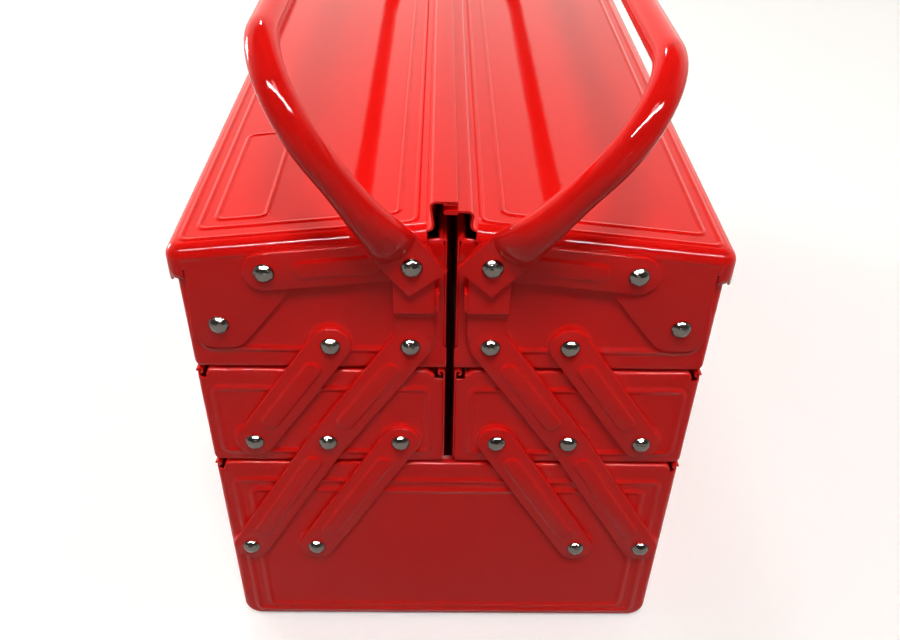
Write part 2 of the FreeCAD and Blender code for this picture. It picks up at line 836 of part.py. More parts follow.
def rivet(name, seat, tail_face):
    """A dome-headed rivet along Y: head outwards at -Y, formed tail on the inside if it has one."""
    radius = (s.dome_radius * s.dome_radius + s.dome_height * s.dome_height) / (2 * s.dome_height)
    dome = doc.addObject("Part::Sphere", name + "_dome")
    dome.setExpression("Radius", radius.formula)
    dome.setExpression("Angle1", "asin(%s)" % ((radius - s.dome_height) / radius).formula)
    outward(dome, seat + s.dome_height - radius)
    pieces = [dome]
    if tail_face is None:
        foot = seat - s.pin_gap - s.arm_steel
    else:
        foot = tail_face - s.tail_height
        pieces.append(round_bar(name + "_tail", s.tail_radius, foot, tail_face))
    pieces.append(round_bar(name + "_shank", s.shank_radius, foot, seat))
    whole = doc.addObject("Part::MultiFuse", name)
    whole.Shapes = pieces
    return whole


def rivet_group(name, placed):
    """Rivets of one body as separate solids; placed lists each rivet with its place across and up."""
    links = []
    for model, across, height in placed:
        for end in (-1, 1):
            link = doc.addObject("App::Link", name + "_rivet")
            link.LinkedObject = model
            turned = Rotation(Vector(0, 0, 1), 0 if end < 0 else HALF_TURN)
            link.Placement = Placement(Vector(across.value, end * half_length.value, height.value), turned)
            link.setExpression("Placement.Base.x", across.formula)
            link.setExpression("Placement.Base.y", (end * half_length).formula)
            link.setExpression("Placement.Base.z", height.formula)
            links.append(link)
    group = doc.addObject("Part::Compound", name)
    group.Links = links
    return keep(group, name)


# Bottom tray.
bottom_pan = tray_pan("bottom_pan", -half_width, half_width, ZERO, s.bottom_height, s.bottom_height,
                      s.bottom_bend, lip=False)
keep(bottom_pan, "bottom_tray_pan")
bottom_front = keep(bottom_end(), "bottom_tray_front_end")
keep(mirrored(bottom_front, "bottom_rear", ALONG), "bottom_tray_rear_end")

# Middle and top trays, made for the left and mirrored for the right.
middle_rim = middle_base + s.middle_height
middle_pan = tray_pan("middle_pan", -half_width, -inner_wall, middle_base, middle_rim, middle_rim,
                      s.tray_bend, lip=True)
keep(middle_pan, "left_middle_tray_pan")
keep(mirrored(middle_pan, "middle_pan_right", ACROSS), "right_middle_tray_pan")
middle_front = half_end(
    "middle_end", middle_base, middle_rim, middle_rim, middle_rim - s.hem_radius / 3,
    (s.middle_frame_side - half_width, middle_base + s.middle_frame_base),
    (-s.middle_frame_inner, middle_rim - s.middle_frame_top),
    [upper_foot, long_middle, short_middle])
keep_four(middle_front, "middle_tray_end")

top_rim = top_base + s.top_outer_height
top_inner_rim = top_base + s.top_inner_height
top_pan = tray_pan("top_pan", -half_width, -inner_wall, top_base, top_rim, top_inner_rim,
                   s.tray_bend, lip=True)
keep(top_pan, "left_top_tray_pan")
keep(mirrored(top_pan, "top_pan_right", ACROSS), "right_top_tray_pan")
top_front = half_end(
    "top_end", top_base, top_rim, top_inner_rim, top_rim + s.hem_radius / 2,
    (s.middle_frame_side - half_width, top_base + s.top_frame_base),
    (-s.middle_frame_inner, top_base + s.top_frame_base + s.top_frame_height),
    [upper_top, long_top, hinge])
keep_four(top_front, "top_tray_end")

# Arms and links.
keep_four(long_arm(), "long_arm")
keep_four(plain_arm("upper_arm", upper_foot, upper_top, arm_layer), "upper_arm")
keep_four(plain_arm("lower_arm", short_foot, short_middle, arm_layer), "lower_arm")
keep_four(plain_arm("lid_link", head, link_end, link_layer), "lid_link")

# Lids.
left_lid = keep(lid("left_lid", -1, s.left_ridge_height, s.left_ridge_reach), "left_lid")
right_lid = keep(lid("right_lid", 1, s.right_ridge_height, s.right_ridge_reach), "right_lid")
lid_beads(left_lid, -1)
lid_beads(right_lid, 1)
label_frame(left_lid, -1)

# Handles.
keep(handle("left_handle", -1, s.left_handle_tilt), "left_handle")
keep(handle("right_handle", 1, s.right_handle_tilt), "right_handle")

# Rivets, each kind drawn once.
arm_rivet = rivet("arm_rivet", arm_layer + s.arm_steel + s.pin_gap, -s.steel)
hinge_rivet = rivet("hinge_rivet", lid_outer_layer + s.pin_gap, -s.steel)
head_rivet = rivet("head_rivet", handle_layer + s.plate_steel + s.pin_gap, link_layer)
link_rivet = rivet("link_rivet", link_layer + s.arm_steel + s.pin_gap, None)
feet = [long_foot, short_foot]
rivet_group("bottom_tray_rivets", [(arm_rivet, side * foot[0], foot[1]) for side in (-1, 1) for foot in feet])
for half, side in (("left", -1), ("right", 1)):
    middles = [upper_foot, long_middle, short_middle]
    rivet_group(half + "_middle_tray_rivets", [(arm_rivet, side * place[0], place[1]) for place in middles])
    tops = [(arm_rivet, side * place[0], place[1]) for place in (upper_top, long_top)]
    rivet_group(half + "_top_tray_rivets", tops + [(hinge_rivet, side * hinge[0], hinge[1])])
    rivet_group(half + "_long_arm_rivets", [(head_rivet, side * head[0], head[1])])
    rivet_group(half + "_lid_link_rivets", [(link_rivet, side * link_end[0], link_end[1])])

doc.recompute()
for item in doc.Objects:
    if "Invalid" in item.State or "Error" in item.State:
        raise RuntimeError("%s (%s) did not rebuild: %s" % (item.Name, item.Label, item.State))
for piece in nodes:
    if piece.Shape.isNull() or not piece.Shape.isValid():
        raise RuntimeError("%s has no valid shape" % piece.Label)
os.makedirs("parts", exist_ok=True)
for piece in nodes:
    piece.Shape.exportStep("parts/%s.step" % piece.Label)
    box = piece.Shape.BoundBox
    print("%-30s solids %d volume %9.0f  x %7.1f %7.1f  y %7.1f %7.1f  z %6.1f %6.1f" % (
        piece.Label, len(piece.Shape.Solids), piece.Shape.Volume,
        box.XMin, box.XMax, box.YMin, box.YMax, box.ZMin, box.ZMax))
print(len(nodes), "pieces")
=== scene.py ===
# %% [markdown]
# A steel cantilever toolbox in glossy red enamel, dressed for the camera.
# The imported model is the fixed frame: every piece made here sits where the model says and rides on
# one of its bodies. All lengths below are written in millimetres and turned into metres once.

# %% Frame and units
import math

import bpy
import numpy as np
from mathutils import Matrix, Vector


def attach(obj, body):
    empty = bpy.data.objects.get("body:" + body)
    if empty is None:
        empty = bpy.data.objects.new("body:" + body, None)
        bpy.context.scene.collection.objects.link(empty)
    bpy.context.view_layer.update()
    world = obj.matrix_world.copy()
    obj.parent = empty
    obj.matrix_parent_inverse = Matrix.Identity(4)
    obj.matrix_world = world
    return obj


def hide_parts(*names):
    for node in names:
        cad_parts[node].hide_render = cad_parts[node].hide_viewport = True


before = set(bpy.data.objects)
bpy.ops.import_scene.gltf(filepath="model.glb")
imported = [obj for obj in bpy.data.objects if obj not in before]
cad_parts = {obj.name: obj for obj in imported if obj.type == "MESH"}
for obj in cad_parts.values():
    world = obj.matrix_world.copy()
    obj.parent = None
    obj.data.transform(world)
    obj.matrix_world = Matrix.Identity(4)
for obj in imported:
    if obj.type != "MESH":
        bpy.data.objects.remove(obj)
scene = bpy.context.scene
mm = 0.001
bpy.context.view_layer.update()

# %% [markdown]
# Colours are written as the sRGB hex values that a paint card would give. Blender's shaders want
# linear light, so one function turns the one into the other.

# %% Colour helper


def paint_card(hex_code):
    """Linear RGBA of an sRGB hex colour."""
    channels = [int(hex_code[i:i + 2], 16) / 255 for i in (1, 3, 5)]
    linear = [c / 12.92 if c <= 0.04045 else ((c + 0.055) / 1.055) ** 2.4 for c in channels]
    return (*linear, 1.0)


# %% [markdown]
# Node materials are wired by name. This one helper adds a node, sets its values and links its
# inputs, so that each material below reads as a list of what feeds what.

# %% Node helper


def add_node(tree, kind, settings=None, values=None, links=None):
    """A node of the given kind; settings are its properties, values its sockets, links its feeds."""
    node = tree.nodes.new(kind)
    for name, value in (settings or {}).items():
        setattr(node, name, value)
    for name, value in (values or {}).items():
        node.inputs[name].default_value = value
    for name, source in (links or {}).items():
        tree.links.new(source, node.inputs[name])
    return node


def new_material(name):
    """A node material emptied of its nodes, and its tree."""
    material = bpy.data.materials.new(name)
    material.use_nodes = True
    tree = material.node_tree
    tree.nodes.clear()
    return material, tree


# %% [markdown]
# The paint is a stoving enamel sprayed on pressed steel and baked: a smooth gloss film about
# 0.05 mm thick. Sprayed enamel never levels perfectly. It keeps a faint orange peel a few
# millimetres across, which shows where a reflection's edge wavers, and a much finer grain from
# dust. The peel is about 20 micrometres high and the grain less than two, so they leave the colour
# alone. The paint mirrors little of the pale floor, which keeps its red deep, so its specular level
# is set low.

# %% Red stoving enamel


def red_stoving_enamel():
    """Glossy red enamel with orange peel 2.5 mm across and dust grain 0.4 mm across."""
    peel_width, peel_height = 2.5 * mm, 0.022 * mm
    dust_width, dust_height = 0.4 * mm, 0.0015 * mm
    cloud_width = 60 * mm
    material, tree = new_material("red_stoving_enamel")
    place = add_node(tree, "ShaderNodeTexCoord").outputs["Object"]
    peel = add_node(tree, "ShaderNodeTexNoise",
                    values={"Scale": 1 / peel_width, "Detail": 2.0, "Roughness": 0.45},
                    links={"Vector": place})
    dust = add_node(tree, "ShaderNodeTexNoise", values={"Scale": 1 / dust_width, "Detail": 1.0},
                    links={"Vector": place})
    film = add_node(tree, "ShaderNodeBump", values={"Strength": 1.0, "Distance": peel_height},
                    links={"Height": peel.outputs["Fac"]})
    grain = add_node(tree, "ShaderNodeBump", values={"Strength": 1.0, "Distance": dust_height},
                     links={"Height": dust.outputs["Fac"], "Normal": film.outputs["Normal"]})
    cloud = add_node(tree, "ShaderNodeTexNoise", values={"Scale": 1 / cloud_width, "Detail": 3.0},
                     links={"Vector": place})
    tint = add_node(tree, "ShaderNodeMix", settings={"data_type": "RGBA"},
                    values={6: paint_card("#ea1812"), 7: paint_card("#e21411")},
                    links={"Factor": cloud.outputs["Fac"]})
    paint = add_node(tree, "ShaderNodeBsdfPrincipled",
                     values={"Roughness": 0.045, "IOR": 1.5, "Specular IOR Level": 0.08},
                     links={"Base Color": tint.outputs[2], "Normal": grain.outputs["Normal"]})
    add_node(tree, "ShaderNodeOutputMaterial", links={"Surface": paint.outputs["BSDF"]})
    return material


enamel = red_stoving_enamel()

# %% [markdown]
# The rivets are steel with bright nickel plate. Tumbling before plating leaves fine dents, so their
# domes break a reflection into soft patches instead of one clean highlight.

# %% Nickel plate


def tumbled_nickel():
    """Bright nickel over tumbled steel, with dents 1.4 mm across."""
    dent_width, dent_depth = 1.4 * mm, 0.3 * mm
    material, tree = new_material("tumbled_nickel_plate")
    place = add_node(tree, "ShaderNodeTexCoord").outputs["Object"]
    dents = add_node(tree, "ShaderNodeTexNoise", values={"Scale": 1 / dent_width, "Detail": 2.0},
                     links={"Vector": place})
    relief = add_node(tree, "ShaderNodeBump", values={"Strength": 1.0, "Distance": dent_depth},
                      links={"Height": dents.outputs["Fac"]})
    haze = add_node(tree, "ShaderNodeMapRange", values={"To Min": 0.05, "To Max": 0.14},
                    links={"Value": dents.outputs["Fac"]})
    plate = add_node(tree, "ShaderNodeBsdfPrincipled",
                     values={"Metallic": 1.0, "Base Color": paint_card("#67625d")},
                     links={"Roughness": haze.outputs["Result"], "Normal": relief.outputs["Normal"]})
    add_node(tree, "ShaderNodeOutputMaterial", links={"Surface": plate.outputs["BSDF"]})
    return material


nickel = tumbled_nickel()

# %% [markdown]
# Every piece is worked out as arrays of points in millimetres. One function turns such arrays into
# a Blender mesh. It can mirror them, because the box is made of the same pressings four times over:
# left and right, front and rear. A mirrored face list is turned round so that it still faces out.

# %% Piece maker


def make_piece(name, shells, body, finish, nodes, flip=(1, 1), wall=None, sharp=32):
    """One object from shells, each an array of points and an array or list of faces, in place."""
    across, along = flip
    points, faces, start = [], [], 0
    for shell_points, shell_faces in shells:
        points.append(np.asarray(shell_points, float) * (across, along, 1))
        for face in (shell_faces.tolist() if isinstance(shell_faces, np.ndarray) else shell_faces):
            ring = [start + corner for corner in face]
            faces.append(ring[::-1] if across * along < 0 else ring)
        start += len(shell_points)
    mesh = bpy.data.meshes.new(name)
    mesh.from_pydata((np.concatenate(points) * mm).tolist(), [], faces)
    mesh.polygons.foreach_set("use_smooth", np.ones(len(mesh.polygons), bool))
    mesh.set_sharp_from_angle(angle=math.radians(sharp))
    mesh.materials.append(finish)
    piece = bpy.data.objects.new(name, mesh)
    scene.collection.objects.link(piece)
    if wall:
        shell = piece.modifiers.new("sheet_steel", "SOLIDIFY")
        shell.thickness = wall * mm
        shell.offset = -1
        shell.use_even_offset = True
    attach(piece, body)
    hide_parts(*nodes)
    print(name, len(faces), "faces")
    return piece


def net(rows, columns, kept=None):
    """Quads of a grid of points stored row by row; kept marks the cells that have metal in them."""
    corner = np.arange(rows * columns).reshape(rows, columns)
    cells = np.stack([corner[:-1, :-1], corner[:-1, 1:], corner[1:, 1:], corner[1:, :-1]], -1)
    return cells[kept] if kept is not None else cells.reshape(-1, 4)


# %% [markdown]
# Sheet metal is bent, not carved. An edge that turns through a quarter circle reads as a bright
# soft line in the photograph, where a sharp edge would show nothing. So every edge here gets its
# real bend radius, worked out from the distance along the sheet.

# %% Bends and outlines


def bend(past, radius):
    """Reach and drop of a sheet at a distance past the start of a quarter bend.

    Reach grows as radius times the sine of the angle turned, drop as radius times one minus its
    cosine; after the quarter turn the sheet runs straight down."""
    angle = np.clip(past / radius, 0, math.pi / 2)
    reach = np.where(past < 0, past, radius * np.sin(angle))
    drop = radius * (1 - np.cos(angle)) + np.maximum(past - radius * math.pi / 2, 0)
    return reach, np.where(past < 0, 0, drop)


def smooth_step(share):
    """Eases a share in and out, held to 0..1: its square times three less two shares."""
    share = np.clip(share, 0, 1)
    return share * share * (3 - 2 * share)


def round_corner(over_u, over_v, flat_reach, radius):
    """Lays a square grid out round a corner, from its distances past the corner's centre.

    The larger of the two distances becomes the distance from the centre, and their ratio the
    angle: an eighth of a turn times the smaller over the larger. Past the flat reach the sheet
    bends down. Gives which points are there, their two distances, how far they are past the flat
    reach, and their drop."""
    larger = np.maximum(np.maximum(over_u, over_v), 1e-9)
    ratio = np.clip(np.minimum(over_u, over_v) / larger, 0, 1) * math.pi / 4
    angle = np.where(over_u >= over_v, ratio, math.pi / 2 - ratio)
    past = larger - flat_reach
    extra, drop = bend(past, radius)
    distance = np.where(larger > flat_reach, flat_reach + extra, larger)
    return (over_u > 0) & (over_v > 0), distance * np.cos(angle), distance * np.sin(angle), past, drop


def ticks(*spans):
    """Grid lines through spans of (start, end, step), each once."""
    lines = [np.linspace(low, high, max(2, int(round(abs(high - low) / step)) + 1))
             for low, high, step in spans]
    return np.unique(np.round(np.concatenate(lines), 4))


def rounded_outline(corners, steps=8):
    """Points round an outline of (x, z, radius) corners, each rounded by an arc tangent to both sides."""
    corners = [tuple(corner) + (0,) * (3 - len(corner)) for corner in corners]
    ring = []
    for index, (x, z, radius) in enumerate(corners):
        here = np.array((x, z))
        before = np.array(corners[index - 1][:2]) - here
        after = np.array(corners[(index + 1) % len(corners)][:2]) - here
        before, after = before / np.linalg.norm(before), after / np.linalg.norm(after)
        if not radius:
            ring.append(here)
            continue
        half = math.acos(np.clip(before @ after, -1, 1)) / 2
        centre = here + (before + after) / np.linalg.norm(before + after) * radius / math.sin(half)
        first = here + before * radius / math.tan(half) - centre
        last = here + after * radius / math.tan(half) - centre
        share = np.linspace(0, 1, steps + 1)[:, None]
        arc = first * (1 - share) + last * share
        ring.extend(centre + arc / np.linalg.norm(arc, axis=1)[:, None] * radius)
    return np.array(ring)


def inward(ring):
    """Directions into a closed outline at each point, longer at sharp corners so the inset is even."""
    step = np.roll(ring, -1, 0) - ring
    step /= np.linalg.norm(step, axis=1)[:, None]
    normal = np.stack([-step[:, 1], step[:, 0]], -1)
    area = np.sum(ring[:, 0] * np.roll(ring[:, 1], -1) - ring[:, 1] * np.roll(ring[:, 0], -1))
    normal *= np.sign(area)
    both = normal + np.roll(normal, 1, 0)
    return both / np.maximum(0.25, np.sum(both * both, 1) / 2)[:, None]


def stacked(rings):
    """A closed shell from rings of equal count, laid as three-dimensional rows, capped at both ends."""
    count = len(rings[0])
    corner = np.arange(len(rings) * count).reshape(len(rings), count)
    following = np.roll(corner, -1, 1)
    sides = np.stack([corner[:-1], following[:-1], following[1:], corner[1:]], -1).reshape(-1, 4).tolist()
    faces = sides + [corner[0, ::-1].tolist(), corner[-1].tolist()]
    points = np.concatenate(rings)
    low = sum(np.cross(points[face[1]] - points[face[0]], points[face[2]] - points[face[0]]) @
              (points[face[0]] + points[face[2]] - 2 * points.mean(0)) for face in sides[::7])
    return points, faces if low > 0 else [face[::-1] for face in faces]


def upright(ring, out):
    """An outline of (x, z) points stood at a distance out from the front wall, towards the viewer."""
    return np.stack([ring[:, 0], np.full(len(ring), -wall_face) - out, ring[:, 1]], -1)


def plate(outline, back, front, soft=0.35):
    """A flat plate between two distances out, its front edge rounded over by a quarter circle."""
    aim = inward(outline)
    turns = np.linspace(0, math.pi / 2, 4)
    soft = np.broadcast_to(soft, len(outline))[:, None]
    rings = [upright(outline, back)]
    for turn in turns:
        inset = outline + aim * soft * (1 - math.cos(turn))
        ring = upright(inset, 0)
        ring[:, 1] -= front - soft[:, 0] * (1 - math.sin(turn))
        rings.append(ring)
    return stacked(rings)


# %% [markdown]
# The box's main sizes, as the model has them: half the body, the heights of the trays, and the
# pivots on the left half as distances from the middle and from the floor.

# %% Sizes
half_width, wall_face, steel = 100.0, 230.0, 0.8
bottom_rim = 110.2
middle_base, middle_rim = 110.5, 162.4
top_base, top_rim, top_inner_rim = 162.7, 211.7, 223.4
long_foot, short_foot = (90.0, 57.0), (60.0, 57.0)
long_middle, short_middle, upper_foot = (50.0, 125.0), (20.0, 125.0), (80.5, 125.0)
long_top, upper_top = (15.3, 176.4), (45.8, 176.4)
head, link_end, hinge = (14.2, 216.2), (67.2, 210.3), (87.0, 185.5)

# Distances out from the wall's face: the back and the front of each layer of steel.
arm_back, arm_front = 1.0, 2.6
lid_back, lid_front = 0.9, 1.7
link_back, link_front = 1.9, 3.5
neck_back, neck_front = 3.7, 5.3
handle_back, handle_front = 5.5, 7.9

quarters = [("left_front", (-1, 1)), ("left_rear", (-1, -1)),
            ("right_front", (1, 1)), ("right_rear", (1, -1))]
bottom_pivots = [(side * x, z) for side in (-1, 1) for x, z in (long_foot, short_foot)]


def on_left(*pivots):
    """Pivots as (x, z) on the left half, which the pressings are drawn for."""
    return [(-x, z) for x, z in pivots]


# %% [markdown]
# The end walls are single pressings. The press turns their side and bottom edges back round a soft
# bend, folds the top edge in for a safe rim, and raises the stiffening beads and the round seats
# under the arms. A flat grid carries all of it: its outer lines run over the bends, and the beads
# are a height added to it. First the two forms that the press raises.

# %% Beads and seats


def bead(distance, half=2.3, height=0.75):
    """Height of a pressed bead: half a cosine wave over the distance from its middle line."""
    return height * (0.5 + 0.5 * np.cos(math.pi * np.clip(np.abs(distance) / half, 0, 1)))


def off_frame(x, z, low, high, corner=3.0):
    """Distance from the line of a rounded rectangle, negative inside it."""
    middle = (np.array(low) + high) / 2
    reach = (np.array(high) - low) / 2 - corner
    over_x = np.abs(x - middle[0]) - reach[0]
    over_z = np.abs(z - middle[1]) - reach[1]
    outside = np.hypot(np.maximum(over_x, 0), np.maximum(over_z, 0))
    return outside + np.minimum(np.maximum(over_x, over_z), 0) - corner


def seat(x, z, pivot, radius=8.5, height=0.8):
    """Height of the round seat pressed up under an arm: flat on top, easing down over its flank."""
    foot, flank = 0.5, 1.1
    return height * smooth_step((radius + foot - np.hypot(x - pivot[0], z - pivot[1])) / flank)


# %% [markdown]
# A pressed edge shows only where the mesh is fine enough to turn with it. So the grid's lines are
# coarse on the flat and crowd together over every bend, bead, seat and cut. Lines a hair apart
# make a cut's edge straight.

# %% Grid of an end wall
flat_step, bend_step, fold_step = 2.6, 0.7, 0.4
bead_reach, bead_step = 2.2, 0.36
seat_reach, seat_step = 9.2, 0.62
edge_reach, edge_step = 3.0, 0.25
hair = 0.01
flange, fold_radius, fold = 0.1, 1.2, 4.0
rim_notch_width, rim_notch_depth = 4.0, 2.5
seam_notch_depth, seam_fold_cut, seam_corner = 2.2, 6.5, 1.5
hook_reach, hook_width, hook_grid = 1.2, 1.5, 1.0
sloped_height = 30.0


def flat_limits(low, high, radius, seam):
    """Where the flat of an end wall stops: at its left, right, base and top."""
    return low[0] + radius, high[0] - (0 if seam else radius), low[1] + radius, high[1] - fold_radius


def wall_lines(low, high, radius, frames, pivots, seam, notch, step):
    """The grid's lines across and up an end wall, as distances along the sheet."""
    turn, fold_turn = radius * math.pi / 2, fold_radius * math.pi / 2
    left, right, base, top = flat_limits(low, high, radius, seam)
    spans_x = [(left, right, flat_step), (left - turn, left, bend_step),
               (left - turn - flange, left - turn, flange)]
    spans_z = [(base, top, flat_step), (base - turn, base, bend_step),
               (base - turn - flange, base - turn, flange), (top, top + fold_turn, fold_step),
               (top + fold_turn, top + fold_turn + fold, fold)]
    for lo, hi in frames:
        spans_x += [(x - bead_reach, x + bead_reach, bead_step) for x in (lo[0], hi[0])]
        spans_z += [(z - bead_reach, z + bead_reach, bead_step) for z in (lo[1], hi[1])]
    for x, z in pivots:
        spans_x.append((x - seat_reach, x + seat_reach, seat_step))
        spans_z.append((z - seat_reach, z + seat_reach, seat_step))
    cuts_x = (low[0] + rim_notch_width, high[0] - (notch if seam else rim_notch_width))
    cuts_z = (high[1] - rim_notch_depth, high[1] - seam_notch_depth)
    spans_x += [(x - hair, x, hair) for x in cuts_x]
    spans_z += [(z - hair, z, hair) for z in cuts_z]
    if seam:
        spans_x.append((high[0] - edge_reach, high[0], edge_step))
        if not notch:
            spans_z.append((high[1] - edge_reach, top, edge_step))
    else:
        spans_x += [(right, right + turn, bend_step), (right + turn, right + turn + flange, flange)]
    if step:
        spans_z.append((low[1] + step - hook_grid, low[1] + step + hook_grid, edge_step))
    lines_x, lines_z = ticks(*spans_x), ticks(*spans_z)
    last_x = high[0] if seam else right + turn + flange
    return (lines_x[(lines_x >= left - turn - flange) & (lines_x <= last_x)],
            lines_z[lines_z >= base - turn - flange])


# %% [markdown]
# The grid is then bent: each line past a flat's edge goes round its bend, and the corners are laid
# out as quarter circles. Beads and seats come out of the bent sheet, and the top is sheared to its
# real line. The cuts leave cells out. A wall at the seam between the halves ends square there.

# %% Pressing an end wall


def end_wall(low, high, corner, radius, frames, pivots, top_line, seam=False, notch=0.0, step=0.0):
    """A pressed end wall over low to high, its lower corners and its edges rounded.

    The top line gives the height of the upper edge. At a seam, a notch cuts the upper corner out;
    without one the corner is rounded, and below the step the edge reaches out as a hook."""
    turn, fold_turn = radius * math.pi / 2, fold_radius * math.pi / 2
    left, right, base, top = flat_limits(low, high, radius, seam)
    u, v = np.meshgrid(*wall_lines(low, high, radius, frames, pivots, seam, notch, step))

    reach_left, drop_left = bend(left - u, radius)
    reach_base, drop_base = bend(base - v, radius)
    reach_top, drop_top = bend(v - top, fold_radius)
    x = np.where(u < left, left - reach_left, u)
    z = np.where(v < base, base - reach_base, v)
    z = np.where(v > top, top + reach_top, z)
    drop = np.maximum.reduce([drop_left, drop_base, drop_top])
    if not seam:
        reach_right, drop_right = bend(u - right, radius)
        x = np.where(u > right, right + reach_right, x)
        drop = np.maximum(drop, drop_right)

    lower = [(-1, low[0] + corner)] + ([] if seam else [(1, high[0] - corner)])
    rounded = [(side, -1, centre, low[1] + corner, corner - radius, radius) for side, centre in lower]
    if seam and not notch:
        rounded.append((1, 1, high[0] - seam_corner, top - seam_corner, seam_corner, fold_radius))
    for across, up, centre_x, centre_z, flat_reach, corner_bend in rounded:
        inside, over_x, over_z, _, fall = round_corner(across * (u - centre_x), up * (v - centre_z),
                                                       flat_reach, corner_bend)
        x = np.where(inside, centre_x + across * over_x, x)
        z = np.where(inside, centre_z + up * over_z, z)
        drop = np.where(inside, fall, drop)
    if step:
        hooked = smooth_step((low[1] + step - z) / hook_reach)
        x = x + hook_reach * hooked * np.clip((u - high[0] + hook_width) / hook_width, 0, 1)

    relief = 0 * x
    for lo, hi in frames:
        relief = np.maximum(relief, bead(off_frame(x, z, lo, hi)))
    for pivot in pivots:
        relief = np.maximum(relief, seat(x, z, pivot))
    share = np.clip((z - (high[1] - sloped_height)) / sloped_height, 0, 1)
    z = z + share * (top_line(x) - high[1])
    y = -wall_face + drop - relief

    cell_u, cell_v = (u[:-1, :-1] + u[1:, 1:]) / 2, (v[:-1, :-1] + v[1:, 1:]) / 2
    notched = cell_v > high[1] - rim_notch_depth
    kept = ~(notched & (cell_u < low[0] + rim_notch_width))
    if notch:
        kept &= ~((cell_v > high[1] - seam_notch_depth) & (cell_u > high[0] - notch))
    elif seam:
        kept &= ~((cell_v > top + fold_turn) & (cell_u > high[0] - seam_fold_cut))
    else:
        kept &= ~(notched & (cell_u > high[0] - rim_notch_width))
    return np.stack([x, y, z], -1).reshape(-1, 3), net(*u.shape, kept)


# %% [markdown]
# The walls' upper edges aren't straight: they round down to the notches at the corners, and the
# top trays' walls slope up to the ridge. Each edge is a height worked out from the place across.

# %% Upper edges
rim_gap, seam_edge = 0.5, 2.72
wall_end, wall_inner = 96.0, 6.45
outer_top, inner_top, top_wall_height = 212.45, 222.9, 212.0


def eased_ends(x):
    """How far a wall's top edge rounds down towards its outer notch: a cube over the last 3 mm."""
    depth, length = 1.8, 3.0
    share = np.clip((np.abs(x) - wall_end + length) / length, 0, 1)
    return depth * share ** 3


def bottom_top(x):
    """Height of the bottom tray's end wall: level, eased down to the notches at its corners."""
    return bottom_rim - rim_gap - eased_ends(x)


def middle_top(x):
    """Height of the middle tray's end wall: level, eased down to the notches at both its ends."""
    start, length, depth = 9.6, 3.2, 1.9
    return middle_rim - rim_gap - eased_ends(x) - depth * smooth_step((start - np.abs(x)) / length)


def sloped_top(x):
    """Height of the top tray's end wall: a straight line from the outer rim up to the inner one."""
    share = (np.clip(-x, seam_edge, wall_end) - wall_end) / (wall_inner - wall_end)
    return outer_top + share * (inner_top - outer_top) - eased_ends(x)


# %% All ten end walls
bottom_frames = [((-92.3, 5.5), (92.3, 99.1)), ((-86.1, 9.6), (86.1, 92.9))]
middle_frame = ((-94.1, 117.2), (-8.3, 152.5))
top_frame = ((-94.1, 173.0), (-8.3, 208.4))
bottom_corner, bottom_bend, half_corner, half_bend = 8.5, 3.2, 3.0, 2.6

bottom_wall = end_wall((-half_width, 0), (half_width, bottom_rim - rim_gap), bottom_corner, bottom_bend,
                       bottom_frames, bottom_pivots, bottom_top)
for end, along in (("front", 1), ("rear", -1)):
    make_piece("bottom_tray_%s_wall" % end, [bottom_wall], "bottom_tray", enamel,
               ["bottom_tray_%s_end" % end], flip=(1, along), wall=steel)

middle_wall = end_wall((-half_width, middle_base), (-seam_edge, middle_rim - rim_gap), half_corner,
                       half_bend, [middle_frame], on_left(upper_foot, long_middle, short_middle),
                       middle_top, seam=True, notch=3.35)
top_wall = end_wall((-half_width, top_base), (-seam_edge, top_wall_height), half_corner, half_bend,
                    [top_frame], on_left(upper_top, long_top, hinge), sloped_top, seam=True, step=12.0)
for quarter, (side, end) in quarters:
    half = quarter.split("_")[0]
    for tray, wall in (("middle", middle_wall), ("top", top_wall)):
        make_piece("%s_%s_tray_wall" % (quarter, tray), [wall], "%s_%s_tray" % (half, tray), enamel,
                   ["%s_%s_tray_end" % (quarter, tray)], flip=(-side, end), wall=steel)

# %% [markdown]
# A tray's floor and long walls are one sheet folded to a U. Its long rims are rolled over a wire
# so that they don't cut the hand. The whole section, rolls included, is one line drawn through
# the middle of the sheet, given its thickness, and drawn out along the box.

# %% Tray pans


roll_in, roll_radius, roll_steps = 1.5, 1.1, 16
seam_face = 1.8


def thickened(line, thickness):
    """A closed outline half a thickness to each side of an open line, square at its ends."""
    step = np.gradient(line, axis=0)
    step /= np.linalg.norm(step, axis=1)[:, None]
    aside = np.stack([-step[:, 1], step[:, 0]], -1) * thickness / 2
    return np.concatenate([line + aside, (line - aside)[::-1]])


def drawn_out(section, near, far):
    """A closed (x, z) section carried along the box from one place to another."""
    return stacked([np.stack([section[:, 0], np.full(len(section), y), section[:, 1]], -1)
                    for y in (near, far)])


def rolled(centre, start, sweep):
    """A rim's roll: an arc of points about a centre, in degrees from +X towards +Z."""
    angle = np.radians(np.linspace(start, start + sweep, roll_steps))
    return np.stack([centre[0] + roll_radius * np.cos(angle), centre[1] + roll_radius * np.sin(angle)], -1)


def u_section(outer, inner, base, outer_top, inner_top, corner):
    """The middle line of a pan: roll, long wall, floor, long wall, roll."""
    left_roll = rolled((outer + roll_in, outer_top - roll_in), -80, 260)
    right_roll = rolled((inner - roll_in, inner_top - roll_in), 0, 260)
    turns = math.pi / 2 * np.linspace(0, 1, 8)
    across, down = (corner - steel / 2) * np.cos(turns), (corner - steel / 2) * np.sin(turns)
    left_turn = np.stack([outer + corner - across, base + corner - down], -1)
    right_turn = np.stack([inner - corner + down, base + corner - across], -1)
    return np.concatenate([left_roll, left_turn, right_turn, right_roll])


